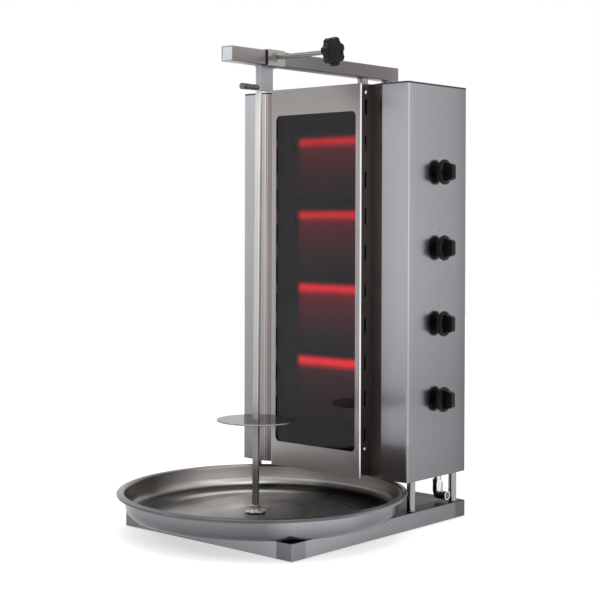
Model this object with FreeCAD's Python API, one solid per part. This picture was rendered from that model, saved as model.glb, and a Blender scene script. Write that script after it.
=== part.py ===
import FreeCAD, Part
import math
import os

from FreeCAD import Rotation, Vector

# Gas doner kebab grill: a flat base with a drip pan and a turning spit, and a four-burner tower behind.
# Millimetres. X points to the knob side, Y to the back, Z up. Pieces are drawn about the middle of the
# base on the floor, and save() moves them so that the origin is under the middle of the whole depth.

# Sheet metal and base
SHEET = 1.2
BASE_SHEET = 1.5
BASE_W = 500.0
BASE_D = 600.0
FOOT_PROUD = 2.0
SKIRT_H = 36.0
BASE_TOP = FOOT_PROUD + SKIRT_H
FOOT_X = 215.0
FOOT_Y = 255.0
FOOT_R = 14.0
STIFFENER_H = 20.0
STIFFENER_W = 44.0

# Drip pan, a spun dish a little behind the spit
PAN_Y = -120.0
PAN_SHEET = 1.2
PAN_WALL_R = 301.0
PAN_BEND_R = 25.0
RIM_R = 320.0
RIM_Z = 91.0
PAN_CROWN = 2.4

# Spit and the swivel that carries it. The hanger on the arm holds the top of the spit a little behind
# its foot, so every piece of the spit is drawn upright over the pivot and then leaned by SPIT_LEAN.
SPIT_Y = -142.0
HANGER_Y = -134.0
PIVOT_Z = 24.0
HANGER_MID_Z = 984.0
SPIT_LEAN = math.degrees(math.atan2(HANGER_Y - SPIT_Y, HANGER_MID_Z - PIVOT_Z))
SPIT_SQUARE = 12.0
SPIT_TURN = 21.0
SPIT_FOOT_Z = 45.0
SPIT_TOP_Z = 965.0
JOURNAL_R = 4.0
JOURNAL_Z = 1000.0
SWIVEL_R = 17.0
TRUNNION_R = 3.0
TRUNNION_X = 20.5
HOUSING_R = 21.6
SHAFT_R = 8.0
SHOULDER_R = 12.0
SHOULDER_Z = 34.1
HUB_R = 23.0
HUB_Z = 43.7
HUB_H = 2.8
NECK_R = 9.3
NECK_H = 12.0
SET_SCREW_Z = 53.5
DISC_R = 87.5
DISC_Z = 242.5
DISC_T = 3.5

# Tower behind the pan
TOWER_Z = 106.0
TOWER_TOP = 990.0
TOWER_FRONT = 78.0
TOWER_REAR = 300.0
TOWER_HALF = 250.0
SIDE_BOX_X = 177.0
ROOF_T = 4.0
FLOOR_T = 2.0
CORNER_R = 5.0
POST_R = 9.5
POST_X = 234.0
POST_YS = (113.5, 271.0)

# Burner cabinet in the middle of the tower
CAB_HALF = 136.0
CAB_FRONT = 53.0
CAB_REAR = 345.0
CAB_SHEET = 1.5
CAB_BEND_R = 4.0
FLANGE_END = 92.0
WINDOW_HALF = 121.0
WINDOW_Z = (163.5, 929.0)
WINDOW_R = 12.0
GLASS_EDGE = 8.0
GLASS_T = 4.0
GASKET_T = 1.5
SLOT_Y = 71.0
SLOT_W = 8.0
SLOT_L = 37.0
SLOT_TOP_Z = 938.0
SLOT_PITCH = 81.8
SLOT_COUNT = 10
SIDE_SCREW_ZS = (170.0, 970.0)
LOUVRE_COUNT = 12
LOUVRE_DEEP = 8.0

# Burners, valves and knobs: four alike, one above the other
LEVELS = 4
KNOB_TOP_Z = 793.0
KNOB_PITCH = 170.7
KNOB_ZS = [KNOB_TOP_Z - KNOB_PITCH * i for i in range(LEVELS)]
KNOB_Y = 195.0
BURNER_RISE = 18.0
PLAQUE_HALF_W = 100.0
PLAQUE_HALF_H = 70.0
PLAQUE_Y = 100.0
PLAQUE_T = 14.0
PLENUM_D = 32.0
VENTURI_Y = 130.0
MANIFOLD = 22.0
MANIFOLD_X = 194.0
MANIFOLD_Z = (118.0, 830.0)
VALVE_X = (205.0, 234.0)
SPINDLE_R = 5.0
SPINDLE_END_X = 262.0
KNOB_R = 28.5
KNOB_BACK_X = 255.0
KNOB_FACE_X = 266.0
KNOB_END_X = 290.0

# Gas inlet under the control box: the nipple comes down and the elbow's mouth faces the knob side
INLET_X = 210.0
INLET_Y = 247.0
NIPPLE_R = 8.3
NIPPLE_Z = (70.0, 112.0)
NUT_Z = (81.7, 88.9)
ELBOW_Z = 53.2
ELBOW_SHOULDER_Z = 63.0
ELBOW_R = 10.0
ELBOW_TOP_R = 12.0
ELBOW_END_X = 237.0
THREAD_R = 7.5
THREAD_L = 14.0

# Top arm and the carriage that slides on it
ARM = 33.0
ARM_Z = 1023.5
ARM_Y = (-234.0, 344.0)
ARM_WALL = 2.0
ARM_POST_R = 12.7
ARM_POST_YS = (226.5, 319.5)
SLEEVE_Y = (-127.5, -73.5)
SLEEVE_WALL = 2.0
SLEEVE_GAP = 0.3
PAD_ROOM = 3.2
PAD_T = 1.6
SCREW_Y = -102.5
SCREW_Z = 1041.7
SCREW_R = 5.0
SCREW_NUT = 17.0
SCREW_NUT_T = 8.0
STAR_X = 177.4
STAR_T = 16.5
STAR_R = 31.0
STAR_LOBES = 7
FLUTE_R = 12.0
FLUTE_AT_R = 38.3
HANGER_HALF = 7.3
HANGER_BORE_R = 5.1
HANGER_Z = 968.0
HANGER_END_Y = -97.0
LOCK_Z = 974.0
LOCK_BODY_R = 6.5
LOCK_PIN_R = 3.0
LOCK_TIP_R = 2.0
LOCK_BODY_Y = -157.0
LOCK_WAIST_R = 6.3
LOCK_GRIP_R = 6.8
LOCK_END_Y = -190.0

FRONT_Y = PAN_Y - RIM_R
REAR_Y = CAB_REAR + SHEET + LOUVRE_DEEP
SHIFT = Vector(0, -(FRONT_Y + REAR_Y) / 2, 0)

X = Vector(1, 0, 0)
Y = Vector(0, 1, 0)
Z = Vector(0, 0, 1)


def save(name, *solids):
    """Write one node: a single solid, or a group of separate ones."""
    shape = solids[0] if len(solids) == 1 else Part.makeCompound(list(solids))
    shape = shape.copy()
    shape.translate(SHIFT)
    shape.exportStep(os.path.join("parts", name + ".step"))


def box(x, y, z):
    """A block between the two limits given on each axis."""
    return Part.makeBox(x[1] - x[0], y[1] - y[0], z[1] - z[0], Vector(x[0], y[0], z[0]))


def rod(radius, start, axis, length):
    return Part.makeCylinder(radius, length, start, axis)


def hexagon(across_flats, start, axis, length):
    """A hexagonal bar from start along axis."""
    turn = Rotation(Z, axis)
    corner = across_flats / math.sqrt(3)
    points = []
    for i in range(7):
        angle = math.radians(60 * i)
        points.append(start + turn.multVec(Vector(corner * math.cos(angle), corner * math.sin(angle), 0)))
    return Part.Face(Part.makePolygon(points)).extrude(axis * length)


def prism(points, z0, z1):
    """A plan outline raised from z0 to z1."""
    corners = [Vector(x, y, z0) for x, y in points]
    return Part.Face(Part.makePolygon(corners + corners[:1])).extrude(Vector(0, 0, z1 - z0))


def mirror_x(shape):
    return shape.mirror(Vector(0, 0, 0), X)


def at_height(shape, dz):
    moved = shape.copy()
    moved.translate(Vector(0, 0, dz))
    return moved


def edges_along(shape, axis, keep=lambda centre: True):
    """Straight edges parallel to an axis whose middle passes the test."""
    found = []
    for edge in shape.Edges:
        if len(edge.Vertexes) == 2:
            way = edge.Vertexes[1].Point - edge.Vertexes[0].Point
            centre = (edge.Vertexes[1].Point + edge.Vertexes[0].Point) * 0.5
            if way.Length > 1e-6 and abs(way.normalize().dot(axis)) > 0.999 and keep(centre):
                found.append(edge)
    return found


def rounded_box(x, y, z, radius, axis):
    """A block whose four edges along one axis are rounded."""
    block = box(x, y, z)
    return block.makeFillet(radius, edges_along(block, axis))


def turned(profile, centre, axis):
    """Revolve a closed (radius, height) outline about an axis through centre."""
    turn = Rotation(Z, axis)
    points = [centre + turn.multVec(Vector(r, 0, h)) for r, h in profile]
    return Part.Face(Part.makePolygon(points + points[:1])).revolve(centre, axis, 360)


def bent_tube(points, radius, bend):
    """A round tube along straight runs joined by tangent arcs of one bend radius."""
    edges = []
    start = points[0]
    for before, corner, after in zip(points, points[1:], points[2:]):
        way_in = (corner - before).normalize()
        way_out = (after - corner).normalize()
        reach = bend * math.tan(way_in.getAngle(way_out) / 2)
        arc_start = corner - way_in * reach
        arc_end = corner + way_out * reach
        inward = (way_out - way_in).normalize()
        to_centre = math.hypot(bend, reach)
        middle = corner + inward * (to_centre - bend)
        edges.append(Part.LineSegment(start, arc_start).toShape())
        edges.append(Part.Arc(arc_start, middle, arc_end).toShape())
        start = arc_end
    edges.append(Part.LineSegment(start, points[-1]).toShape())
    section = Part.Wire(Part.makeCircle(radius, points[0], points[1] - points[0]))
    return Part.Wire(edges).makePipeShell([section], True, False)


def base_tray():
    """Folded tray, open below, with an inward return round its foot and a hole for the swivel."""
    half_w = BASE_W / 2
    half_d = BASE_D / 2
    tray = rounded_box((-half_w, half_w), (-half_d, half_d), (FOOT_PROUD, BASE_TOP), 4.0, Z)
    tray = tray.makeFillet(2.0, [e for e in tray.Edges if min(v.Z for v in e.Vertexes) > BASE_TOP - 0.01])
    room_w = half_w - BASE_SHEET
    room_d = half_d - BASE_SHEET
    room_z = (FOOT_PROUD + BASE_SHEET, BASE_TOP - BASE_SHEET)
    room = rounded_box((-room_w, room_w), (-room_d, room_d), room_z, 2.5, Z)
    mouth = box((14 - half_w, half_w - 14), (14 - half_d, half_d - 14), (0, FOOT_PROUD + 2 * BASE_SHEET))
    swivel_hole = rod(22.0, Vector(0, SPIT_Y, BASE_TOP - 5), Z, 10)
    save("base_tray", tray.cut(room).cut(mouth).cut(swivel_hole))


def base_stiffeners():
    """Three U channels welded across under the base top. The outer two carry the feet."""
    top = BASE_TOP - BASE_SHEET
    channels = []
    for y in (-FOOT_Y, POST_YS[0], FOOT_Y):
        outer = box((-235, 235), (y - STIFFENER_W / 2, y + STIFFENER_W / 2), (top - STIFFENER_H, top))
        inner_half = STIFFENER_W / 2 - BASE_SHEET
        inner = box((-236, 236), (y - inner_half, y + inner_half), (top - STIFFENER_H + BASE_SHEET, top + 1))
        channels.append(outer.cut(inner))
    save("base_stiffeners", *channels)


def rubber_feet():
    top = BASE_TOP - BASE_SHEET - STIFFENER_H
    outline = [(0, 0), (FOOT_R - 1, 0), (FOOT_R, 1), (FOOT_R - 2, top), (0, top)]
    feet = [turned(outline, Vector(x, y, 0), Z) for x in (-FOOT_X, FOOT_X) for y in (-FOOT_Y, FOOT_Y)]
    save("rubber_feet", *feet)


def drip_pan():
    """Spun dish: crowned floor, rounded corner, leaning wall, flat lip and a rolled bead at its edge."""
    flat_r = PAN_WALL_R - PAN_BEND_R
    bend_mid = PAN_BEND_R * math.sqrt(0.5)
    lean_top = Vector(PAN_WALL_R + 2.5, 0, RIM_Z - 6)
    lip_in = Vector(PAN_WALL_R + 8, 0, RIM_Z - PAN_SHEET)
    lip_out = Vector(RIM_R - 4.2, 0, RIM_Z - PAN_SHEET - 2)
    bead_low = Vector(RIM_R - 3.4, 0, RIM_Z - 7.6)
    runs = [
        Part.LineSegment(Vector(0, 0, BASE_TOP + PAN_CROWN), Vector(flat_r - 30, 0, BASE_TOP)),
        Part.LineSegment(Vector(flat_r - 30, 0, BASE_TOP), Vector(flat_r, 0, BASE_TOP)),
        Part.Arc(Vector(flat_r, 0, BASE_TOP),
                 Vector(flat_r + bend_mid, 0, BASE_TOP + PAN_BEND_R - bend_mid),
                 Vector(PAN_WALL_R, 0, BASE_TOP + PAN_BEND_R)),
        Part.LineSegment(Vector(PAN_WALL_R, 0, BASE_TOP + PAN_BEND_R), lean_top),
        Part.Arc(lean_top, Vector(PAN_WALL_R + 4.4, 0, RIM_Z - 2.8), lip_in),
        Part.LineSegment(lip_in, lip_out),
        Part.Arc(lip_out, Vector(RIM_R - PAN_SHEET, 0, RIM_Z - 5.4), bead_low),
    ]
    outside = Part.Wire([run.toShape() for run in runs])
    section = outside.makeOffset2D(PAN_SHEET, 0, True, True)
    pan = section.revolve(Vector(0, 0, 0), Z, 360)
    pan.translate(Vector(0, PAN_Y, 0))
    spit_hole = rod(SHOULDER_R + 3, Vector(0, SPIT_Y, BASE_TOP - 5), Z, 20)
    save("drip_pan", pan.Solids[0].cut(spit_hole))


def hub_housing():
    """Bearing cup under the base top, with a round seat that lets the swivel lean."""
    top = BASE_TOP + PAN_CROWN - 0.6
    under = BASE_TOP - BASE_SHEET
    outline = [(0, 8), (16, 8), (HOUSING_R, 13), (HOUSING_R, under - 4), (32, under - 4), (32, under),
               (HOUSING_R, under), (HOUSING_R, top), (0, top)]
    cup = turned(outline, Vector(0, SPIT_Y, 0), Z)
    seat = Part.makeSphere(SWIVEL_R + 0.3, Vector(0, SPIT_Y, PIVOT_Z))
    well = rod(SWIVEL_R + 0.3, Vector(0, SPIT_Y, PIVOT_Z), Z, 30)
    drain = rod(SHAFT_R + 3, Vector(0, SPIT_Y, 0), Z, 20)
    save("hub_housing", cup.cut(seat).cut(well).cut(drain).cut(trunnion_slots()))


def trunnion_slots():
    """Upright slots in the housing's wall. Their round feet carry the swivel's two pins."""
    reach = TRUNNION_X + 0.3
    radius = TRUNNION_R + 0.05
    feet = rod(radius, Vector(-reach, SPIT_Y, PIVOT_Z), X, 2 * reach)
    ways = box((-reach, reach), (SPIT_Y - radius, SPIT_Y + radius), (PIVOT_Z, BASE_TOP + 5))
    return feet.fuse(ways)


def lean(shape):
    """Lean a piece of the spit back about the pivot, to the angle that the hanger holds it at."""
    shape.rotate(Vector(0, SPIT_Y, PIVOT_Z), X, -SPIT_LEAN)
    return shape


def turn_spit(shape):
    """Turn a piece of the spit to the angle that the square bar stands at, then lean it."""
    shape.rotate(Vector(0, SPIT_Y, 0), Z, SPIT_TURN)
    return lean(shape)


def hub_swivel():
    """Ball-shaped ring on two pins: the spit's shaft turns in its bore and it leans in the housing."""
    ball = Part.makeSphere(SWIVEL_R, Vector(0, SPIT_Y, PIVOT_Z))
    slice_z = (PIVOT_Z - 12, PIVOT_Z + 10)
    ring = ball.common(box((-20, 20), (SPIT_Y - 20, SPIT_Y + 20), slice_z))
    pins = rod(TRUNNION_R, Vector(-TRUNNION_X, SPIT_Y, PIVOT_Z), X, 2 * TRUNNION_X)
    bore = rod(SHAFT_R + 0.05, Vector(0, SPIT_Y, 0), Z, 60)
    save("hub_swivel", lean(ring.fuse(pins).cut(bore)))


def hub_shaft():
    """Shaft with the shoulder that bears on the swivel, and a retaining head below."""
    low = PIVOT_Z - 12.3
    outline = [(0, low - 3), (SHAFT_R + 2, low - 3), (SHAFT_R + 2, low), (SHAFT_R, low),
               (SHAFT_R, SHOULDER_Z), (SHOULDER_R, SHOULDER_Z), (SHOULDER_R, HUB_Z), (0, HUB_Z)]
    save("hub_shaft", lean(turned(outline, Vector(0, SPIT_Y, 0), Z)))


def spit_hub():
    """Flat collar in the pan with a neck whose square socket takes the foot of the spit."""
    neck_z = HUB_Z + HUB_H
    top = neck_z + NECK_H
    outline = [(0, HUB_Z), (HUB_R, HUB_Z), (HUB_R, neck_z - 1), (HUB_R - 1, neck_z), (NECK_R + 1, neck_z),
               (NECK_R, neck_z + 1), (NECK_R, top - 1), (NECK_R - 1, top), (0, top)]
    hub = turned(outline, Vector(0, SPIT_Y, 0), Z)
    half = SPIT_SQUARE / 2 + 0.1
    socket = box((-half, half), (SPIT_Y - half, SPIT_Y + half), (SPIT_FOOT_Z, top + 1))
    screw_hole = rod(3.0, Vector(0, SPIT_Y, SET_SCREW_Z), -Y, NECK_R + 5)
    save("hub_set_screw", turn_spit(set_screw()))
    save("spit_hub", turn_spit(hub.cut(socket).cut(screw_hole)))


def set_screw():
    """Socket-head screw through the neck on to one flat of the spit."""
    start = SPIT_SQUARE / 2
    shank = rod(2.9, Vector(0, SPIT_Y - start, SET_SCREW_Z), -Y, NECK_R + 0.2 - start)
    head = rod(4.6, Vector(0, SPIT_Y - NECK_R - 0.2, SET_SCREW_Z), -Y, 5)
    socket = hexagon(4.0, Vector(0, SPIT_Y - NECK_R - 2.6, SET_SCREW_Z), -Y, 4)
    return shank.fuse(head).cut(socket)


def spit_rod():
    """Square bar with eased edges and a round journal on top, grooved for the lock pin."""
    half = SPIT_SQUARE / 2
    bar = box((-half, half), (SPIT_Y - half, SPIT_Y + half), (SPIT_FOOT_Z, SPIT_TOP_Z))
    bar = bar.makeFillet(0.8, edges_along(bar, Z))
    groove = (LOCK_Z - LOCK_TIP_R - 1.2, LOCK_Z + LOCK_TIP_R + 1.2)
    outline = [(0, SPIT_TOP_Z - 1), (JOURNAL_R, SPIT_TOP_Z - 1), (JOURNAL_R, groove[0]), (2.6, groove[0]),
               (2.6, groove[1]), (JOURNAL_R, groove[1]), (JOURNAL_R, JOURNAL_Z - 2), (2.5, JOURNAL_Z),
               (0, JOURNAL_Z)]
    journal = turned(outline, Vector(0, SPIT_Y, 0), Z)
    pin_hole = rod(2.6, Vector(-half - 1, SPIT_Y, DISC_Z - 2.6), X, SPIT_SQUARE + 2)
    save("spit_rod", turn_spit(bar.fuse(journal).cut(pin_hole)))
    cross_pin = rod(2.5, Vector(-16, SPIT_Y, DISC_Z - 2.6), X, 32)
    save("disc_pin", turn_spit(cross_pin))


def meat_disc():
    """Plain plate that carries the meat. It drops over the spit and rests on the cross pin."""
    plate = rod(DISC_R, Vector(0, SPIT_Y, DISC_Z), Z, DISC_T)
    plate = plate.makeFillet(1.4, [e for e in plate.Edges if e.Length > DISC_R])
    half = SPIT_SQUARE / 2 + 0.4
    hole = box((-half, half), (SPIT_Y - half, SPIT_Y + half), (DISC_Z - 1, DISC_Z + DISC_T + 1))
    save("meat_disc", turn_spit(plate.cut(hole)))


def tower_posts():
    """Four round legs that hold the tower up off the base."""
    feet = [Vector(x, y, BASE_TOP) for x in (-POST_X, POST_X) for y in POST_YS]
    save("tower_posts", *[rod(POST_R, foot, Z, TOWER_Z - BASE_TOP) for foot in feet])


def tower_floor():
    """Load-carrying plate under the side boxes and the cabinet."""
    top = TOWER_Z + FLOOR_T
    edge = TOWER_HALF - SHEET
    plate = box((SIDE_BOX_X + 1.4, edge), (TOWER_FRONT + SHEET, TOWER_REAR - SHEET), (TOWER_Z, top))
    plate = plate.makeFillet(CORNER_R, edges_along(plate, Z, lambda c: c.x > edge - 1))
    plate = plate.fuse(mirror_x(plate))
    middle = SIDE_BOX_X + 1.4
    plate = plate.fuse(box((-middle, middle), (FLANGE_END + 4, TOWER_REAR - SHEET), (TOWER_Z, top)))
    tongue = box((-CAB_HALF + 2, CAB_HALF - 2), (CAB_FRONT + 2, CAB_REAR), (TOWER_Z, top))
    tongue = tongue.makeFillet(CAB_BEND_R, edges_along(tongue, Z, lambda c: c.y < CAB_FRONT + 3))
    plate = plate.fuse(tongue)
    nipple_hole = rod(NIPPLE_R + 0.5, Vector(INLET_X, INLET_Y, TOWER_Z - 1), Z, FLOOR_T + 2)
    save("tower_floor", plate.removeSplitter().cut(nipple_hole))


def side_cover():
    """Folded cover of the right side box: front strip with a return, side, and rear strip."""
    z = (TOWER_Z, TOWER_TOP - ROOF_T)
    skin = box((SIDE_BOX_X, TOWER_HALF), (TOWER_FRONT, TOWER_REAR), z)
    skin = skin.makeFillet(CORNER_R, edges_along(skin, Z, lambda c: c.x > TOWER_HALF - 1))
    room_z = (z[0] - 1, z[1] + 1)
    room = box((SIDE_BOX_X + SHEET, TOWER_HALF - SHEET), (TOWER_FRONT + SHEET, TOWER_REAR - SHEET), room_z)
    room = room.makeFillet(CORNER_R - SHEET, edges_along(room, Z, lambda c: c.x > TOWER_HALF - 2))
    open_side = box((SIDE_BOX_X - 1, SIDE_BOX_X + SHEET + 1), (TOWER_FRONT + 14, TOWER_REAR - SHEET), room_z)
    return skin.cut(room).cut(open_side)


def side_covers():
    """The two covers are mirror images. Only the right one is pierced for the valve spindles."""
    save("left_side_cover", mirror_x(side_cover()))
    cover = side_cover()
    for z in KNOB_ZS:
        cover = cover.cut(rod(SPINDLE_R + 1, Vector(TOWER_HALF - 5, KNOB_Y, z), X, 10))
    save("control_box_cover", cover)


def corner_infills():
    """Slanting strips that close the gap between the cabinet's flanges and the side boxes."""
    near = (CAB_HALF + 0.4, FLANGE_END + 1.2)
    far = (SIDE_BOX_X - 0.3, TOWER_FRONT + 1.4)
    outline = [near, far, (far[0], far[1] + SHEET), (near[0], near[1] + SHEET)]
    strip = prism(outline, TOWER_Z, TOWER_TOP - ROOF_T)
    save("corner_infills", strip, mirror_x(strip))


def roof_panels():
    """Dark lids on the side boxes. Their edge shows as a line round the top of the tower."""
    outline = [(CAB_HALF + 0.3, FLANGE_END + 0.6), (SIDE_BOX_X, TOWER_FRONT), (TOWER_HALF, TOWER_FRONT),
               (TOWER_HALF, TOWER_REAR), (CAB_HALF + 0.3, TOWER_REAR)]
    lid = prism(outline, TOWER_TOP - ROOF_T, TOWER_TOP)
    lid = lid.makeFillet(CORNER_R, edges_along(lid, Z, lambda c: c.x > TOWER_HALF - 1))
    save("roof_panels", lid, mirror_x(lid))


def burner_casing():
    """Deep box round the burners, open to the front, pierced for the gas and thermocouple lines."""
    z = (TOWER_Z + FLOOR_T, TOWER_TOP)
    shell = box((-CAB_HALF, CAB_HALF), (FLANGE_END + 0.4, CAB_REAR), z)
    half = CAB_HALF - CAB_SHEET
    room = box((-half, half), (FLANGE_END - 1, CAB_REAR - CAB_SHEET), (z[0] + CAB_SHEET, z[1] - CAB_SHEET))
    shell = shell.cut(room)
    lip_y = (CAB_FRONT + CAB_SHEET + 0.2, FLANGE_END + 1)
    for z0 in (z[0], z[1] - CAB_SHEET):
        lip = box((0.3 - half, half - 0.3), lip_y, (z0, z0 + CAB_SHEET))
        lip = lip.makeFillet(CAB_BEND_R, edges_along(lip, Z, lambda c: c.y < CAB_FRONT + 3))
        shell = shell.fuse(lip)
    vent = rounded_box((-90, 90), (CAB_REAR - 5, CAB_REAR + 5), (200, 900), 8.0, Y)
    shell = shell.removeSplitter().cut(vent)
    for kz in KNOB_ZS:
        shell = shell.cut(rod(6.0, Vector(CAB_HALF - 5, VENTURI_Y, kz), X, 10))
        shell = shell.cut(rod(3.0, Vector(CAB_HALF - 5, 108, kz - 34), X, 10))
    save("burner_casing", shell)


def rear_cover():
    """Louvred sheet over the vent in the casing's back. Each louvre is a hollow half-round hood."""
    cover = rounded_box((-110, 110), (CAB_REAR, CAB_REAR + SHEET), (170, 930), 10.0, Y)
    pitch = 700.0 / LOUVRE_COUNT
    for i in range(LOUVRE_COUNT):
        z = 215 + pitch * i
        hood = rod(LOUVRE_DEEP + 6, Vector(-80, CAB_REAR - 6 + SHEET, z), X, 160)
        hollow = rod(LOUVRE_DEEP + 6 - SHEET, Vector(-78.8, CAB_REAR - 6 + SHEET, z), X, 157.6)
        upper = box((-90, 90), (CAB_REAR, CAB_REAR + 20), (z, z + 30))
        mouth = box((-90, 90), (CAB_REAR - 2, CAB_REAR + 20), (z - 1, z + 30))
        cover = cover.fuse(hood.common(upper)).cut(hollow.common(mouth))
    save("rear_cover", cover.removeSplitter())


def glass_frame():
    """Front plate with a rounded window, folded back each side into a flange with ten air slots."""
    z = (TOWER_Z, TOWER_TOP)
    frame = box((-CAB_HALF, CAB_HALF), (CAB_FRONT, FLANGE_END), z)
    frame = frame.makeFillet(CAB_BEND_R, edges_along(frame, Z, lambda c: c.y < CAB_FRONT + 1))
    half = CAB_HALF - CAB_SHEET
    room = box((-half, half), (CAB_FRONT + CAB_SHEET, FLANGE_END + 1), (z[0] - 1, z[1] + 1))
    room = room.makeFillet(CAB_BEND_R - CAB_SHEET, edges_along(room, Z, lambda c: c.y < CAB_FRONT + 2))
    frame = frame.cut(room)
    window_y = (CAB_FRONT - 1, CAB_FRONT + CAB_SHEET + 1)
    frame = frame.cut(rounded_box((-WINDOW_HALF, WINDOW_HALF), window_y, WINDOW_Z, WINDOW_R, Y))
    for i in range(SLOT_COUNT):
        mid = SLOT_TOP_Z - SLOT_PITCH * i
        slot_z = (mid - SLOT_L / 2, mid + SLOT_L / 2)
        slot_y = (SLOT_Y - SLOT_W / 2, SLOT_Y + SLOT_W / 2)
        frame = frame.cut(rounded_box((-CAB_HALF - 1, CAB_HALF + 1), slot_y, slot_z, SLOT_W / 2 - 0.1, X))
    for screw_z in SIDE_SCREW_ZS:
        frame = frame.cut(rod(2.6, Vector(-CAB_HALF - 1, SLOT_Y, screw_z), X, 2 * CAB_HALF + 2))
    save("glass_frame", frame)


def glass_and_gasket():
    """Heat-proof glass behind the window, bedded on a flat gasket."""
    half = WINDOW_HALF + GLASS_EDGE
    z = (WINDOW_Z[0] - GLASS_EDGE, WINDOW_Z[1] + GLASS_EDGE)
    gasket_y = (CAB_FRONT + CAB_SHEET, CAB_FRONT + CAB_SHEET + GASKET_T)
    ring = rounded_box((-half, half), gasket_y, z, WINDOW_R + 4, Y)
    margin = 3.0
    opening_x = (-WINDOW_HALF - margin, WINDOW_HALF + margin)
    opening_z = (WINDOW_Z[0] - margin, WINDOW_Z[1] + margin)
    opening = rounded_box(opening_x, (gasket_y[0] - 1, gasket_y[1] + 1), opening_z, WINDOW_R + 2, Y)
    save("glass_gasket", ring.cut(opening))
    glass = rounded_box((-half, half), (gasket_y[1], gasket_y[1] + GLASS_T), z, WINDOW_R + 4, Y)
    save("glass_panel", glass)


def glass_clips():
    """Six bent clips on the flanges that press the glass forward."""
    back = CAB_FRONT + CAB_SHEET + GASKET_T + GLASS_T
    wall = CAB_HALF - CAB_SHEET
    clips = []
    for z in (250.0, 546.0, 842.0):
        leg = box((wall - SHEET, wall), (back, back + 22), (z - 12, z + 12))
        tongue = box((wall - 14, wall), (back, back + SHEET), (z - 12, z + 12))
        clip = leg.fuse(tongue).removeSplitter()
        clips += [clip, mirror_x(clip)]
    save("glass_clips", *clips)


def frame_screws():
    """Round-headed screws that hold the glass frame by its flanges."""
    screws = []
    for z in SIDE_SCREW_ZS:
        outline = [(0, -8), (2.5, -8), (2.5, 0), (4.6, 0), (4.2, 1.4), (2.4, 2.4), (0, 2.6)]
        screw = turned(outline, Vector(CAB_HALF, SLOT_Y, z), X)
        screws += [screw, mirror_x(screw)]
    save("frame_screws", *screws)


def burner_levels():
    """Middle height of each burner."""
    return [z + BURNER_RISE for z in KNOB_ZS]


def burner_bodies():
    """Pressed plenum with a venturi at the gas side and an ear each side that meets the casing."""
    back = PLAQUE_Y + PLAQUE_T
    half_h = PLAQUE_HALF_H + 6
    plenum = rounded_box((-106, 106), (back, back + PLENUM_D), (-half_h, half_h), 8.0, Y)
    venturi = rod(11.0, Vector(100, VENTURI_Y, -BURNER_RISE), X, 27)
    throat = rod(8.0, Vector(110, VENTURI_Y, -BURNER_RISE), X, 20)
    body = plenum.fuse(venturi).cut(throat)
    wall = CAB_HALF - CAB_SHEET
    ear = box((105, wall), (back + 22, back + 24), (34, 60))
    ear = ear.fuse(box((wall - 2, wall), (back + 10, back + 24), (34, 60)))
    body = body.fuse(ear).fuse(mirror_x(ear)).removeSplitter()
    save("burner_bodies", *[at_height(body, z) for z in burner_levels()])


def ceramic_plaques():
    """Three ported tiles side by side on each burner: this is the face that glows."""
    tiles = []
    width = 2 * PLAQUE_HALF_W / 3
    for z in burner_levels():
        for i in range(3):
            x0 = -PLAQUE_HALF_W + width * i
            tile_x = (x0 + 0.4, x0 + width - 0.4)
            tile_z = (z - PLAQUE_HALF_H, z + PLAQUE_HALF_H)
            tiles.append(box(tile_x, (PLAQUE_Y, PLAQUE_Y + PLAQUE_T), tile_z))
    save("ceramic_plaques", *tiles)


def plaque_screens():
    """Guard of bars in front of each plaque, on four legs that stand on the plenum."""
    y = (PLAQUE_Y - 6, PLAQUE_Y - 3)
    half_w = PLAQUE_HALF_W + 5
    half_h = PLAQUE_HALF_H + 5
    opening = box((4 - half_w, half_w - 4), (y[0] - 1, y[1] + 1), (4 - half_h, half_h - 4))
    ring = box((-half_w, half_w), y, (-half_h, half_h)).cut(opening)
    for i in range(1, 6):
        z = -half_h + 2 * half_h * i / 6
        ring = ring.fuse(box((3 - half_w, half_w - 3), (y[0] + 0.5, y[1] - 0.5), (z - 1, z + 1)))
    for x in (-half_w, half_w - 3):
        for z in (-half_h, half_h - 3):
            ring = ring.fuse(box((x, x + 3), (y[1] - 1, PLAQUE_Y + PLAQUE_T), (z, z + 3)))
    screen = ring.removeSplitter()
    save("plaque_screens", *[at_height(screen, z) for z in burner_levels()])


def gas_manifold():
    """Closed square tube that feeds the valves, with a round branch over and down to the inlet."""
    half = MANIFOLD / 2
    across = (MANIFOLD_X - half, MANIFOLD_X + half)
    square = rounded_box(across, (KNOB_Y - half, KNOB_Y + half), MANIFOLD_Z, 2.0, Z)
    low = MANIFOLD_Z[0] + 16
    corner = Vector(INLET_X, INLET_Y, low)
    route = [Vector(MANIFOLD_X, KNOB_Y, low), corner, Vector(INLET_X, INLET_Y, NIPPLE_Z[1])]
    save("gas_manifold", square.fuse(bent_tube(route, NIPPLE_R, 18.0)))


def manifold_brackets():
    """Z-shaped brackets from the casing's side wall to the manifold."""
    face = MANIFOLD_X - MANIFOLD / 2
    brackets = []
    for z in (210.0, 740.0):
        z_range = (z - 12, z + 12)
        web = box((CAB_HALF, face), (KNOB_Y - 1, KNOB_Y + 0.5), z_range)
        foot = box((CAB_HALF, CAB_HALF + 1.5), (KNOB_Y - 12, KNOB_Y + 0.5), z_range)
        head = box((face - 1.5, face), (KNOB_Y - 1, KNOB_Y + 10), z_range)
        brackets.append(web.fuse(foot).fuse(head).removeSplitter())
    save("manifold_brackets", *brackets)


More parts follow.
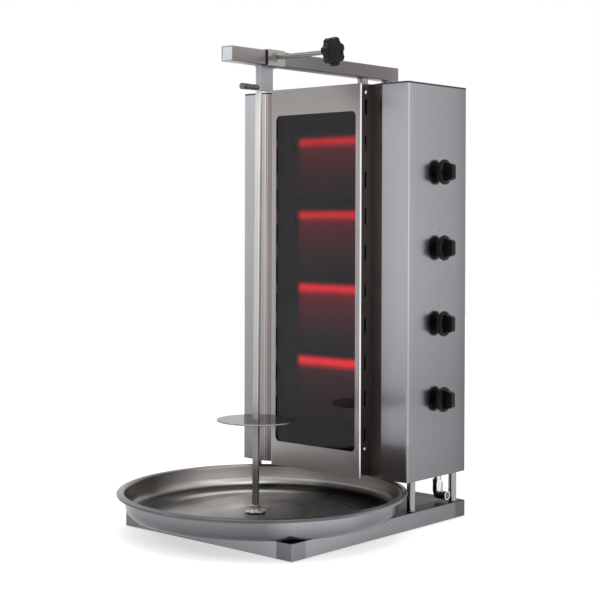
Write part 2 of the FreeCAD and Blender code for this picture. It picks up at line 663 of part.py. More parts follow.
def gas_valves():
    """Brass taps on the manifold: barrel for the spindle, outlet towards the burner, thermocouple port."""
    barrel = rod(15.0, Vector(VALVE_X[0], KNOB_Y, 0), X, 20)
    nose = rod(10.0, Vector(VALVE_X[0] + 19, KNOB_Y, 0), X, VALVE_X[1] - VALVE_X[0] - 19)
    outlet = rod(7.0, Vector(216, KNOB_Y, 0), -Y, 21)
    port = rod(5.0, Vector(216, KNOB_Y, 0), -Z, 21)
    spindle_bore = rod(SPINDLE_R + 0.3, Vector(214.5, KNOB_Y, 0), X, 30)
    pin_bore = rod(3.4, Vector(206.7, KNOB_Y, 0), X, 12)
    valve = barrel.fuse(nose).fuse(outlet).fuse(port).removeSplitter().cut(spindle_bore).cut(pin_bore)
    save("gas_valves", *[at_height(valve, z) for z in KNOB_ZS])


def feed_pipes():
    """Bent pipe from each valve to the jet in the burner's throat, with its union nut."""
    start_y = KNOB_Y - 21
    route = [Vector(216, start_y, 0), Vector(216, VENTURI_Y, 0), Vector(124, VENTURI_Y, 0)]
    pipe = bent_tube(route, 4.0, 16.0)
    union = hexagon(15.0, Vector(216, start_y, 0), -Y, 9)
    jet = rod(6.0, Vector(126, VENTURI_Y, 0), -X, 12)
    line = pipe.fuse(union).fuse(jet)
    save("feed_pipes", *[at_height(line, z) for z in KNOB_ZS])


def thermocouples():
    """Thin leads from the flame-failure port of each valve to the edge of its plaque."""
    route = [Vector(216, KNOB_Y, -21), Vector(216, KNOB_Y, -34), Vector(216, 108, -34), Vector(109, 108, -34)]
    lead = bent_tube(route, 1.6, 8.0)
    save("thermocouples", *[at_height(lead, z) for z in KNOB_ZS])


def valve_moving_parts():
    """Push pin and spindle of each valve. The spindle's end is flattened for the knob."""
    for i, z in enumerate(KNOB_ZS, 1):
        save("valve_push_pin_%d" % i, rod(3.0, Vector(211, KNOB_Y, z), X, 7.7))
        spindle = rod(SPINDLE_R, Vector(219, KNOB_Y, z), X, SPINDLE_END_X - 219)
        flat = box((252, SPINDLE_END_X + 1), (KNOB_Y - 10, KNOB_Y + 10), (z + 3.4, z + 10))
        save("valve_spindle_%d" % i, spindle.cut(flat))


def gas_knob():
    """Skirted knob: boss behind, thin dished skirt, and an upright tapered grip bar in front."""
    back = KNOB_BACK_X
    face = KNOB_FACE_X
    centre = Vector(0, KNOB_Y, 0)
    outline = [(0, back), (12, back), (12.6, back + 5), (KNOB_R - 2.5, face - 5), (KNOB_R, face - 3),
               (KNOB_R, face - 1.4), (KNOB_R - 1.6, face), (KNOB_R - 5, face + 0.2), (17, face + 3),
               (0, face + 4)]
    knob = turned(outline, centre, X)
    end = KNOB_END_X
    sides = [(face - 1, -22), (end - 3, -17.5), (end, -14.5), (end, 14.5), (end - 3, 17.5), (face - 1, 22)]
    corners = [Vector(x, KNOB_Y - 7, z) for x, z in sides]
    bar = Part.Face(Part.makePolygon(corners + corners[:1])).extrude(Vector(0, 14, 0))
    bar = bar.makeFillet(1.6, [e for e in bar.Edges if e.BoundBox.XMin > face])
    bore = rod(SPINDLE_R + 0.1, Vector(back - 1, KNOB_Y, 0), X, SPINDLE_END_X + 1 - back)
    flat = box((back - 1, SPINDLE_END_X), (KNOB_Y - 10, KNOB_Y + 10), (3.5, 10))
    return knob.fuse(bar).removeSplitter().cut(bore.cut(flat))


def gas_knobs():
    for i, z in enumerate(KNOB_ZS, 1):
        save("gas_knob_%d" % i, at_height(gas_knob(), z))


def gas_inlet():
    """Nipple, lock nut and elbow. The elbow's threaded mouth faces the knob side."""
    centre = Vector(INLET_X, INLET_Y, 0)
    save("inlet_nipple", rod(NIPPLE_R, centre + Z * NIPPLE_Z[0], Z, NIPPLE_Z[1] - NIPPLE_Z[0]))
    nipple_bore = rod(NIPPLE_R + 0.05, centre + Z * NIPPLE_Z[0], Z, 30)
    save("inlet_nut", hexagon(22.0, centre + Z * NUT_Z[0], Z, NUT_Z[1] - NUT_Z[0]).cut(nipple_bore))
    outline = [(0, ELBOW_Z), (ELBOW_R, ELBOW_Z), (ELBOW_TOP_R, ELBOW_SHOULDER_Z), (ELBOW_TOP_R, NUT_Z[0]),
               (0, NUT_Z[0])]
    body = turned(outline, centre, Z)
    ball = Part.makeSphere(ELBOW_R, centre + Z * ELBOW_Z)
    branch = rod(ELBOW_R, centre + Z * ELBOW_Z, X, ELBOW_END_X - INLET_X)
    elbow = body.fuse(ball).fuse(branch).removeSplitter().cut(nipple_bore)
    thread = rod(THREAD_R, Vector(ELBOW_END_X - THREAD_L, INLET_Y, ELBOW_Z), X, THREAD_L + 1)
    save("inlet_elbow", elbow.cut(thread))


def top_arm():
    """Square tube on two stub posts, with a plug in each end."""
    save("arm_posts", *[rod(ARM_POST_R, Vector(0, y, TOWER_TOP), Z, ARM_Z - TOWER_TOP) for y in ARM_POST_YS])
    half = ARM / 2
    tube = rounded_box((-half, half), ARM_Y, (ARM_Z, ARM_Z + ARM), 2.5, Y)
    bore_half = half - ARM_WALL
    bore_z = (ARM_Z + ARM_WALL, ARM_Z + ARM - ARM_WALL)
    tube = tube.cut(box((-bore_half, bore_half), (ARM_Y[0] - 1, ARM_Y[1] + 1), bore_z))
    save("arm_tube", tube)
    fit = 0.1
    plugs = []
    for y in ((ARM_Y[0] + 0.5, ARM_Y[0] + 14), (ARM_Y[1] - 14, ARM_Y[1] - 0.5)):
        plugs.append(box((fit - bore_half, bore_half - fit), y, (bore_z[0] + fit, bore_z[1] - fit)))
    save("arm_end_plugs", *plugs)


def clamp_sleeve():
    """Square sleeve round the arm, wider on the screw side to leave room for the pressure pad."""
    half = ARM / 2
    inner_x = (-half - SLEEVE_GAP, half + PAD_ROOM)
    inner_z = (ARM_Z - SLEEVE_GAP, ARM_Z + ARM + SLEEVE_GAP)
    outer_x = (inner_x[0] - SLEEVE_WALL, inner_x[1] + SLEEVE_WALL)
    outer_z = (inner_z[0] - SLEEVE_WALL, inner_z[1] + SLEEVE_WALL)
    sleeve = rounded_box(outer_x, SLEEVE_Y, outer_z, 2.5, Y)
    sleeve = sleeve.cut(box(inner_x, (SLEEVE_Y[0] - 1, SLEEVE_Y[1] + 1), inner_z))
    sleeve = sleeve.cut(rod(SCREW_R + 0.4, Vector(inner_x[1] - 1, SCREW_Y, SCREW_Z), X, SLEEVE_WALL + 2))
    save("clamp_sleeve", sleeve)
    nut_at = Vector(outer_x[1], SCREW_Y, SCREW_Z)
    nut = hexagon(SCREW_NUT, nut_at, X, SCREW_NUT_T)
    save("clamp_nut", nut.cut(rod(SCREW_R + 0.05, nut_at - X, X, SCREW_NUT_T + 2)))


def clamp_screw():
    """Pad, screw and star knob that lock the sleeve to the arm."""
    pad_x = ARM / 2 + 0.05
    save("clamp_pad", rod(8.0, Vector(pad_x, SCREW_Y, SCREW_Z), X, PAD_T))
    screw_x = pad_x + PAD_T + 0.1
    save("clamp_screw", rod(SCREW_R, Vector(screw_x, SCREW_Y, SCREW_Z), X, STAR_X + 10 - screw_x))
    centre = Vector(STAR_X, SCREW_Y, SCREW_Z)
    star = rod(STAR_R, centre, X, STAR_T)
    for i in range(STAR_LOBES):
        angle = math.pi + 2 * math.pi * (i + 0.5) / STAR_LOBES
        flute_at = centre + Vector(-1, FLUTE_AT_R * math.cos(angle), FLUTE_AT_R * math.sin(angle))
        star = star.cut(rod(FLUTE_R, flute_at, X, STAR_T + 2))
    star = star.makeFillet(2.0, edges_along(star, X))
    rims = [e for e in star.Edges if e.BoundBox.XLength < 0.01]
    star = star.makeFillet(1.5, rims)
    boss = turned([(0, -12), (9, -12), (11.5, 0.5), (0, 0.5)], centre, X)
    cap = turned([(0, STAR_T - 0.5), (23, STAR_T - 0.5), (21.5, STAR_T + 1.6), (19, STAR_T + 2),
                  (17.5, STAR_T + 0.8), (0, STAR_T + 1.4)], centre, X)
    bore = rod(SCREW_R + 0.02, centre - X * 13, X, 23)
    save("star_knob", star.fuse(boss).fuse(cap).removeSplitter().cut(bore))


def spit_hanger():
    """Thick bar with a round nose, welded under the sleeve. The spit's journal runs in its bore."""
    sleeve_foot = ARM_Z - SLEEVE_GAP - SLEEVE_WALL
    nose_top = ARM_Z - 0.4
    across = (-HANGER_HALF, HANGER_HALF)
    bar = box(across, (HANGER_Y, HANGER_END_Y), (HANGER_Z, sleeve_foot))
    bar = bar.fuse(box(across, (HANGER_Y, SLEEVE_Y[0]), (HANGER_Z, nose_top)))
    nose = rod(HANGER_HALF, Vector(0, HANGER_Y, HANGER_Z), Z, nose_top - HANGER_Z)
    bar = bar.fuse(nose.common(box(across, (HANGER_Y - 10, HANGER_Y), (HANGER_Z, nose_top))))
    bore = rod(HANGER_BORE_R, Vector(0, HANGER_Y, HANGER_Z - 1), Z, 70)
    pin_hole = rod(LOCK_TIP_R + 0.3, Vector(0, HANGER_Y, LOCK_Z), -Y, HANGER_HALF + 1)
    save("spit_hanger", bar.removeSplitter().cut(bore).cut(pin_hole))


def lock_pin():
    """Pull pin whose tip sits in the journal's groove, its grip, and the round body that guides it."""
    axis_at = Vector(0, HANGER_Y, LOCK_Z)
    body = rod(LOCK_BODY_R, axis_at, -Y, HANGER_Y - LOCK_BODY_Y)
    body = body.cut(rod(HANGER_HALF, Vector(0, HANGER_Y, LOCK_Z - 10), Z, 20))
    save("lock_pin_body", body.cut(rod(LOCK_PIN_R + 0.05, axis_at, -Y, 60)))
    tip = JOURNAL_R - 0.7
    shoulder = HANGER_HALF + 0.4
    grip = HANGER_Y - LOCK_BODY_Y + 0.3
    end = HANGER_Y - LOCK_END_Y
    groove_r = LOCK_WAIST_R - 1
    outline = [(0, tip), (LOCK_TIP_R - 0.4, tip), (LOCK_TIP_R, tip + 0.5), (LOCK_TIP_R, shoulder),
               (LOCK_PIN_R, shoulder), (LOCK_PIN_R, grip), (LOCK_WAIST_R - 0.5, grip),
               (LOCK_WAIST_R, grip + 0.5), (LOCK_WAIST_R, grip + 10), (groove_r, grip + 10.5),
               (groove_r, grip + 11.5), (LOCK_GRIP_R, grip + 12), (LOCK_GRIP_R, end - 11),
               (groove_r, end - 10.5), (groove_r, end - 9.5), (LOCK_GRIP_R, end - 9),
               (LOCK_GRIP_R + 0.2, end - 1), (LOCK_GRIP_R - 0.8, end), (0, end)]
    save("lock_pin", turned(outline, axis_at, -Y))


os.makedirs("parts", exist_ok=True)
base_tray()
base_stiffeners()
rubber_feet()
drip_pan()
hub_housing()
hub_swivel()
hub_shaft()
spit_hub()
spit_rod()
meat_disc()
tower_posts()
tower_floor()
side_covers()
corner_infills()
roof_panels()
burner_casing()
rear_cover()
glass_frame()
glass_and_gasket()
glass_clips()
frame_screws()
burner_bodies()
ceramic_plaques()
plaque_screens()
gas_manifold()
manifold_brackets()
gas_valves()
feed_pipes()
thermocouples()
valve_moving_parts()
gas_knobs()
gas_inlet()
top_arm()
clamp_sleeve()
clamp_screw()
spit_hanger()
lock_pin()
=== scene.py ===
import math

import bpy
import numpy as np
from mathutils import Matrix, Vector


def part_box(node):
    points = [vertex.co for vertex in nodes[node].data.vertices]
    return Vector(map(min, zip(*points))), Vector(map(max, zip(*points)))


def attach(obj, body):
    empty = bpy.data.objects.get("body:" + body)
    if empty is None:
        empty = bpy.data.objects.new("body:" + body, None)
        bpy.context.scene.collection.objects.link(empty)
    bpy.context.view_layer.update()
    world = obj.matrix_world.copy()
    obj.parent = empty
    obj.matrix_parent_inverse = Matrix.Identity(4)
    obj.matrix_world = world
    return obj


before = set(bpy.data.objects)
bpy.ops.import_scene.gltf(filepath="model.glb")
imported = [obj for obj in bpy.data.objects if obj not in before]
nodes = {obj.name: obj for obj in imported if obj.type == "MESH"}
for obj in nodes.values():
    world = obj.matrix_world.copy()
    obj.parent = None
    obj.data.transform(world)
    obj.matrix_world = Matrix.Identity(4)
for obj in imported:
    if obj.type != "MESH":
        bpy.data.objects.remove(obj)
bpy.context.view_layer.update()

# Camera
# It stands to the right of the grill and in front of it, a little above half height, and looks almost
# level. The lens is long, so the tower's edges stay nearly parallel. A small downward shift puts the pan in
# the frame.
LENS_PIXELS = 1375.77
FRAME_PIXELS = 600.0
SHIFT_PIXELS = -64.16
SENSOR_WIDTH = 36.0
camera_place = Vector((2.0786, -2.2885, 0.6779))
yaw = math.radians(41.688)
pitch = math.radians(-0.544)
roll = math.radians(0.171)
forward = Vector((-math.sin(yaw) * math.cos(pitch), math.cos(yaw) * math.cos(pitch), math.sin(pitch)))
level_right = Vector((math.cos(yaw), math.sin(yaw), 0.0))
level_up = level_right.cross(forward)
right = level_right * math.cos(roll) + level_up * math.sin(roll)
upward = level_up * math.cos(roll) - level_right * math.sin(roll)
camera_data = bpy.data.cameras.new("camera")
camera_data.sensor_width = SENSOR_WIDTH
camera_data.lens = LENS_PIXELS / FRAME_PIXELS * SENSOR_WIDTH
camera_data.shift_y = SHIFT_PIXELS / FRAME_PIXELS
camera_data.clip_end = 60.0
camera = bpy.data.objects.new("camera", camera_data)
camera_axes = Matrix((right, upward, -forward)).transposed().to_4x4()
camera.matrix_world = Matrix.Translation(camera_place) @ camera_axes
bpy.context.scene.collection.objects.link(camera)
bpy.context.scene.camera = camera

# Studio
# A pale floor and a white surround, which metal and glass mirror too. Matt surfaces are lit by a softly
# graded room, brighter overhead, and by three square lamps.
bpy.context.scene.view_settings.view_transform = "Standard"
SEEN_RAYS = ("Is Camera Ray", "Is Glossy Ray", "Is Transmission Ray")
ROOM_UPWARD = [(0.0, (0.55, 0.55, 0.56)), (0.46, (0.50, 0.50, 0.51)), (0.55, (0.62, 0.62, 0.64)),
               (0.75, (0.80, 0.80, 0.82)), (1.0, (1.0, 1.0, 1.0))]
ROOM_STRENGTH = 0.85
PAPER_HALF = 6.0
PAPER_GREY = 0.70
PAPER_GLOW = 0.58


def link(tree, source, target):
    tree.links.new(source, target)


def node(tree, kind, **values):
    """A shader node with its properties set by name."""
    made = tree.nodes.new(kind)
    for key, value in values.items():
        setattr(made, key, value)
    return made


def feed(tree, source, target):
    """Link a socket to the target, or set the target to a plain value."""
    if isinstance(source, bpy.types.NodeSocket):
        link(tree, source, target)
    else:
        target.default_value = source


def reckon(tree, operation, first, second):
    """A maths node. Each side is a number or a socket."""
    made = node(tree, "ShaderNodeMath", operation=operation)
    feed(tree, first, made.inputs[0])
    feed(tree, second, made.inputs[1])
    return made.outputs[0]


def apart(tree, vector):
    """The X, Y and Z of a vector, by name."""
    made = node(tree, "ShaderNodeSeparateXYZ")
    link(tree, vector, made.inputs[0])
    return made.outputs


def spread(tree, value, low, high, to_low=0.0, to_high=1.0):
    """A value carried from the range low to high onto another range, and held at its ends."""
    made = node(tree, "ShaderNodeMapRange")
    for name, number in (("From Min", low), ("From Max", high), ("To Min", to_low), ("To Max", to_high)):
        made.inputs[name].default_value = number
    link(tree, value, made.inputs["Value"])
    return made.outputs["Result"]


def ramp(tree, stops, source):
    """A colour ramp through (place, colour) stops, fed by a value."""
    made = node(tree, "ShaderNodeValToRGB")
    points = made.color_ramp.elements
    while len(points) > 1:
        points.remove(points[-1])
    points[0].position, points[0].color = stops[0][0], (*stops[0][1], 1.0)
    for place, colour in stops[1:]:
        points.new(place).color = (*colour, 1.0)
    link(tree, source, made.inputs["Fac"])
    return made.outputs["Color"]


def by_ray(tree, unseen, seen):
    """The second shader for the rays that see or mirror a surface, and the first for the rest."""
    paths = node(tree, "ShaderNodeLightPath")
    found = paths.outputs[SEEN_RAYS[0]]
    for kind in SEEN_RAYS[1:]:
        found = reckon(tree, "MAXIMUM", found, paths.outputs[kind])
    mixed = node(tree, "ShaderNodeMixShader")
    link(tree, found, mixed.inputs["Fac"])
    link(tree, unseen, mixed.inputs[1])
    link(tree, seen, mixed.inputs[2])
    return mixed.outputs[0]


def studio_world():
    """A graded room for the light that falls on things, and plain white for the rays that see it."""
    world = bpy.data.worlds.new("studio")
    world.use_nodes = True
    tree = world.node_tree
    tree.nodes.clear()
    height = apart(tree, node(tree, "ShaderNodeTexCoord").outputs["Generated"])["Z"]
    room = node(tree, "ShaderNodeBackground")
    room.inputs["Strength"].default_value = ROOM_STRENGTH
    link(tree, ramp(tree, ROOM_UPWARD, spread(tree, height, -1.0, 1.0)), room.inputs["Color"])
    plain = node(tree, "ShaderNodeBackground")
    plain.inputs["Color"].default_value = (1.0, 1.0, 1.0, 1.0)
    output = node(tree, "ShaderNodeOutputWorld")
    link(tree, by_ray(tree, room.outputs[0], plain.outputs[0]), output.inputs["Surface"])
    return world


bpy.context.scene.world = studio_world()


def mesh_piece(name, points, faces, material, smooth=True):
    """A mesh object at the origin from points and faces of any number of corners."""
    mesh = bpy.data.meshes.new(name)
    mesh.from_pydata(np.asarray(points, float).reshape(-1, 3).tolist(), [], [list(face) for face in faces])
    mesh.polygons.foreach_set("use_smooth", np.full(len(mesh.polygons), smooth))
    mesh.update()
    mesh.materials.append(material)
    made = bpy.data.objects.new(name, mesh)
    bpy.context.scene.collection.objects.link(made)
    return made


def new_material(name):
    """A named material with a bare tree of a Principled shader and its output, and that shader."""
    material = bpy.data.materials.new(name)
    material.use_nodes = True
    tree = material.node_tree
    tree.nodes.clear()
    shader = node(tree, "ShaderNodeBsdfPrincipled")
    link(tree, shader.outputs[0], node(tree, "ShaderNodeOutputMaterial").inputs["Surface"])
    return material, tree, shader


def floor_paper():
    """Pale paper that takes the object's shadow. A glow for the rays that see it brings it up to white."""
    material, tree, shader = new_material("floor_paper")
    shader.inputs["Base Color"].default_value = (PAPER_GREY, PAPER_GREY, PAPER_GREY, 1.0)
    shader.inputs["Roughness"].default_value = 0.9
    shader.inputs["Specular IOR Level"].default_value = 0.0
    glow = node(tree, "ShaderNodeEmission")
    glow.inputs["Strength"].default_value = PAPER_GLOW
    both = node(tree, "ShaderNodeAddShader")
    link(tree, shader.outputs[0], both.inputs[0])
    link(tree, glow.outputs[0], both.inputs[1])
    output = next(n for n in tree.nodes if n.bl_idname == "ShaderNodeOutputMaterial")
    link(tree, by_ray(tree, shader.outputs[0], both.outputs[0]), output.inputs["Surface"])
    return material


floor_corners = [(x * PAPER_HALF, y * PAPER_HALF, 0.0) for x, y in ((-1, -1), (1, -1), (1, 1), (-1, 1))]
floor = mesh_piece("floor", floor_corners, [(0, 1, 2, 3)], floor_paper(), smooth=False)


def softbox(name, place, aim, size, power):
    """A square area lamp at place, turned towards aim."""
    lamp = bpy.data.lights.new(name, "AREA")
    lamp.shape = "SQUARE"
    lamp.size = size
    lamp.energy = power
    made = bpy.data.objects.new(name, lamp)
    made.location = place
    made.rotation_euler = (Vector(aim) - Vector(place)).to_track_quat("-Z", "Y").to_euler()
    bpy.context.scene.collection.objects.link(made)


softbox("softbox_overhead", (0.2, -0.6, 3.2), (0, 0, 0.5), 2.6, 30.0)
softbox("softbox_left", (-2.3, -2.6, 2.6), (0, 0, 0.6), 1.1, 14.0)
softbox("softbox_right", (3.0, 0.6, 2.4), (0.2, 0, 0.5), 1.6, 8.0)

# Base tray
# Folded stainless sheet with a long brushed grain. Its colour carries painted shade, darker to the left and
# towards the back, with a darker band beside every corner and a painted highlight along each corner edge.
# Stiffening channels are welded under it.
LEVEL = (1.0, 1.0, 0.0)
GRAIN_X = (6.0, 900.0, 900.0)
GRAIN_Y = (900.0, 6.0, 900.0)
GRAIN_Z = (900.0, 900.0, 6.0)
GRAIN_LEVEL = (6.0, 6.0, 900.0)
BASE_ACROSS = [(-0.2500, 0.90), (-0.2490, 0.43), (-0.2115, 0.43), (-0.2095, 0.58), (-0.1000, 0.66),
               (0.0, 0.80), (0.0600, 0.89), (0.2070, 0.89), (0.2090, 0.42), (0.2490, 0.42), (0.2500, 0.90)]
BASE_BACKWARDS = [(-0.2570, 1.0), (-0.2545, 0.66), (-0.2165, 0.68), (-0.2145, 1.0), (-0.1000, 0.98),
                  (0.0400, 0.76), (0.2400, 0.62), (0.3020, 0.58), (0.3040, 0.38), (0.3424, 0.38),
                  (0.3428, 0.66)]


def object_place(tree):
    """Places on the piece in metres, which move with it."""
    return node(tree, "ShaderNodeTexCoord").outputs["Object"]


def vectors(tree, operation, first, second=None):
    """A vector maths node. Each side is a vector or a socket, and the second side of SCALE is a value."""
    made = node(tree, "ShaderNodeVectorMath", operation=operation)
    feed(tree, first, made.inputs[0])
    if second is not None:
        feed(tree, second, made.inputs["Scale" if operation == "SCALE" else 1])
    return made.outputs["Value" if operation in ("LENGTH", "DOT_PRODUCT") else "Vector"]


def noise(tree, where, scale, detail):
    """Cloudy noise round one half, with scale cells to a metre of where."""
    made = node(tree, "ShaderNodeTexNoise")
    made.inputs["Scale"].default_value = scale
    made.inputs["Detail"].default_value = detail
    link(tree, where, made.inputs["Vector"])
    return made.outputs["Fac"]


def raise_surface(tree, shader, height, strength, distance=0.0002):
    """Give the shader a fine relief from a height."""
    relief = node(tree, "ShaderNodeBump")
    relief.inputs["Strength"].default_value = strength
    relief.inputs["Distance"].default_value = distance
    link(tree, height, relief.inputs["Height"])
    link(tree, relief.outputs[0], shader.inputs["Normal"])


def grain_group():
    """Brushed grain from stretched noise: a tone near one, a small change of roughness and a height."""
    group = bpy.data.node_groups.new("brushed_grain", "ShaderNodeTree")
    face = group.interface
    face.new_socket("Vector", in_out="INPUT", socket_type="NodeSocketVector")
    for name in ("Depth", "Cloud"):
        face.new_socket(name, in_out="INPUT", socket_type="NodeSocketFloat")
    for name in ("Tone", "Rough", "Height"):
        face.new_socket(name, in_out="OUTPUT", socket_type="NodeSocketFloat")
    start = node(group, "NodeGroupInput").outputs
    end = node(group, "NodeGroupOutput").inputs
    fine = noise(group, start["Vector"], 1.0, 3.0)
    coarse = noise(group, start["Vector"], 0.035, 2.0)
    scratch = reckon(group, "MULTIPLY", reckon(group, "SUBTRACT", fine, 0.5), start["Depth"])
    cloud = reckon(group, "MULTIPLY", reckon(group, "SUBTRACT", coarse, 0.5), start["Cloud"])
    both = reckon(group, "ADD", scratch, cloud)
    link(group, reckon(group, "ADD", both, 1.0), end["Tone"])
    link(group, both, end["Rough"])
    link(group, fine, end["Height"])
    return group


brushed_grain = grain_group()


def shaded(tree, where, colour, shades):
    """A colour that changes slowly over a sheet. Each shade is an axis and (place in metres, factor) stops.
    The factors of all the shades multiply the colour, which is a colour or a socket."""
    for axis, stops in shades:
        low, high = stops[0][0], stops[-1][0]
        tones = [((at - low) / (high - low), (tone,) * 3) for at, tone in stops]
        along = spread(tree, apart(tree, where)[axis], low, high)
        colour = vectors(tree, "MULTIPLY", ramp(tree, tones, along), colour)
    return colour


def within(tree, where, low, high, soft):
    """One well inside the box from low to high, nought outside it, over a soft edge. It is the least
    distance to the box's six faces, divided by the width of the edge."""
    past_low = vectors(tree, "SUBTRACT", where, low)
    ways = apart(tree, vectors(tree, "MINIMUM", past_low, vectors(tree, "SUBTRACT", high, where)))
    least = reckon(tree, "MINIMUM", reckon(tree, "MINIMUM", ways["X"], ways["Y"]), ways["Z"])
    return spread(tree, least, 0.0, soft)


def blended(tree, mask, first, second):
    """The first colour where the mask is nought and the second where it is one, each plain or a socket."""
    mixed = node(tree, "ShaderNodeMix", data_type="RGBA")
    link(tree, mask, mixed.inputs["Factor"])
    for socket, colour in (("A", first), ("B", second)):
        entry = next(i for i in mixed.inputs if i.name == socket and i.type == "RGBA")
        feed(tree, (*colour, 1.0) if isinstance(colour, tuple) else colour, entry)
    return next(o for o in mixed.outputs if o.type == "RGBA")


def from_axis(tree, centre):
    """Places round an upright axis: X and Y from the axis, and the distance from it as Z."""
    moved = vectors(tree, "SUBTRACT", object_place(tree), centre)
    ways = apart(tree, moved)
    made = node(tree, "ShaderNodeCombineXYZ")
    link(tree, ways["X"], made.inputs["X"])
    link(tree, ways["Y"], made.inputs["Y"])
    link(tree, vectors(tree, "LENGTH", vectors(tree, "MULTIPLY", moved, LEVEL)), made.inputs["Z"])
    return made.outputs[0]


def brushed(name, colour, stretch, rough=0.28, depth=0.10, cloud=0.08, bump=0.12, centre=None, shades=(),
            metallic=1.0, edge=1.0, dark_box=None):
    """Brushed steel. stretch is the noise's cells per metre along X, Y and Z: few cells along the brushing
    and many across it. With a centre the grain runs in circles round that point, as on a spun dish, and the
    first value of stretch then counts cells per metre of radius. colour and metallic are plain values, or
    functions that make a socket in the tree. shades paint light and shade into a plain colour, as slow
    changes over the sheet, and edge is how bright it mirrors at a grazing angle. The dark box, if given, is
    (low corner, high corner, colour, width of the edge) of a box inside which that dark colour takes the
    place of the sheet's."""
    material, tree, shader = new_material(name)
    where = object_place(tree)
    if centre is not None:
        rings = node(tree, "ShaderNodeCombineXYZ")
        link(tree, apart(tree, from_axis(tree, centre))["Z"], rings.inputs["X"])
        link(tree, apart(tree, where)["Z"], rings.inputs["Z"])
        where = rings.outputs[0]
    scaled = node(tree, "ShaderNodeMapping")
    scaled.inputs["Scale"].default_value = stretch
    link(tree, where, scaled.inputs["Vector"])
    grain = node(tree, "ShaderNodeGroup", node_tree=brushed_grain)
    grain.inputs["Depth"].default_value = depth
    grain.inputs["Cloud"].default_value = cloud
    link(tree, scaled.outputs[0], grain.inputs["Vector"])
    sheet = colour(tree) if callable(colour) else shaded(tree, object_place(tree), colour, shades)
    finish = vectors(tree, "SCALE", sheet, grain.outputs["Tone"])
    if dark_box is not None:
        low, high, dark, soft = dark_box
        finish = blended(tree, within(tree, object_place(tree), low, high, soft), finish, dark)
    link(tree, finish, shader.inputs["Base Color"])
    link(tree, reckon(tree, "ADD", grain.outputs["Rough"], rough), shader.inputs["Roughness"])
    feed(tree, metallic(tree) if callable(metallic) else metallic, shader.inputs["Metallic"])
    shader.inputs["Specular Tint"].default_value = (edge, edge, edge, 1.0)
    raise_surface(tree, shader, grain.outputs["Height"], bump)
    return material


def dress(material, *names):
    """Give CAD nodes a material in all their slots."""
    for name in names:
        for place in nodes[name].material_slots:
            place.material = material


dress(brushed("base_sheet", (0.38, 0.38, 0.40), GRAIN_LEVEL, rough=0.32, edge=0.45,
              shades=[("X", BASE_ACROSS), ("Y", BASE_BACKWARDS)]), "base_tray")
dress(brushed("stiffener_sheet", (0.42, 0.42, 0.43), GRAIN_X, rough=0.45),
      "base_stiffeners", "manifold_brackets", "hub_housing", "tower_floor")

# Rubber feet
# Moulded black rubber, slightly dusty. Each one is pushed up into a channel under the tray.


def matt(name, colour, rough, cells=700.0, bump=0.25, shine=0.5):
    """A moulded surface: one colour with a fine pebble and a slightly uneven sheen."""
    material, tree, shader = new_material(name)
    shader.inputs["Specular IOR Level"].default_value = shine
    where = object_place(tree)
    wear = noise(tree, where, 45.0, 3.0)
    worn = tuple(min(1.0, c * 1.35 + 0.004) for c in colour)
    link(tree, ramp(tree, [(0.35, colour), (0.75, worn)], wear), shader.inputs["Base Color"])
    link(tree, spread(tree, wear, 0.0, 1.0, rough - 0.06, rough + 0.08), shader.inputs["Roughness"])
    raise_surface(tree, shader, noise(tree, where, cells, 2.0), bump)
    return material


dress(matt("foot_rubber", (0.02, 0.02, 0.02), 0.75), "rubber_feet")

# Drip pan
# A dish spun from thin stainless sheet, with fine rings left by the roller. It stands on the base tray, and
# the spit goes through a hole in it. Its inside has a warm tone, and its colour carries painted shade,
# painted reflections and painted highlights.
UP = (0.0, 0.0, 1.0)
pan_low, pan_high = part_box("drip_pan")
pan_centre = (pan_low + pan_high) / 2
# Painted shade and reflections in the pan's colour, from the floor, wall, lip and outside tables below:
# inside it is darker to the right, towards the front and up the wall, with a painted dark reflection round
# the foot of the wall; the lip is darker at the front and on the right, and the outside darker towards its
# foot and its back.
FLOOR_TINT = (1.0, 0.935, 0.893)
FLOOR_RINGS = [(0.0, 1.0), (0.065, 1.0), (0.100, 0.42), (0.222, 0.42), (0.245, 0.36), (0.262, 0.21),
               (0.292, 0.19)]
FLOOR_ALONG = [(-0.300, 0.52), (-0.030, 0.55), (0.005, 0.80), (0.050, 1.0), (0.300, 1.0)]
FLOOR_ACROSS = [(-0.300, 0.30), (-0.222, 0.24), (-0.182, 0.26), (-0.156, 0.95), (-0.090, 1.0),
                (-0.062, 0.58), (-0.045, 0.34), (-0.025, 0.30), (0.0, 0.13), (0.030, 0.115), (0.050, 0.07),
                (0.090, 0.043), (0.280, 0.07)]
WALL_TINT = (0.78, 0.73, 0.70)
WALL_START = [(0.0, 0.0), (0.290, 0.0), (0.2945, 1.0), (0.33, 1.0)]
WALL_ACROSS = [(-0.300, 1.0), (-0.285, 0.90), (-0.255, 0.86), (-0.212, 0.52), (-0.150, 0.62), (-0.080, 0.42),
               (0.150, 0.40), (0.300, 0.34)]
WALL_ALONG = [(-0.300, 0.40), (-0.050, 0.40), (0.020, 0.85), (0.060, 1.0), (0.300, 1.0)]
WALL_RINGS = [(0.280, 1.0), (0.3000, 1.0), (0.3015, 0.68), (0.3030, 0.60)]
LIP_TINT = (0.36, 0.355, 0.36)
LIP_START = [(0.0, 0.0), (0.3045, 0.0), (0.3060, 1.0), (0.33, 1.0)]
LIP_ALONG = [(-0.320, 0.30), (-0.270, 0.34), (-0.200, 0.62), (-0.100, 0.50), (0.0, 0.80), (0.200, 0.70),
             (0.320, 0.70)]
LIP_ACROSS = [(-0.320, 1.0), (0.150, 1.0), (0.220, 0.50), (0.300, 0.60), (0.320, 0.75)]
OUTSIDE_TINT = (0.36, 0.356, 0.385)
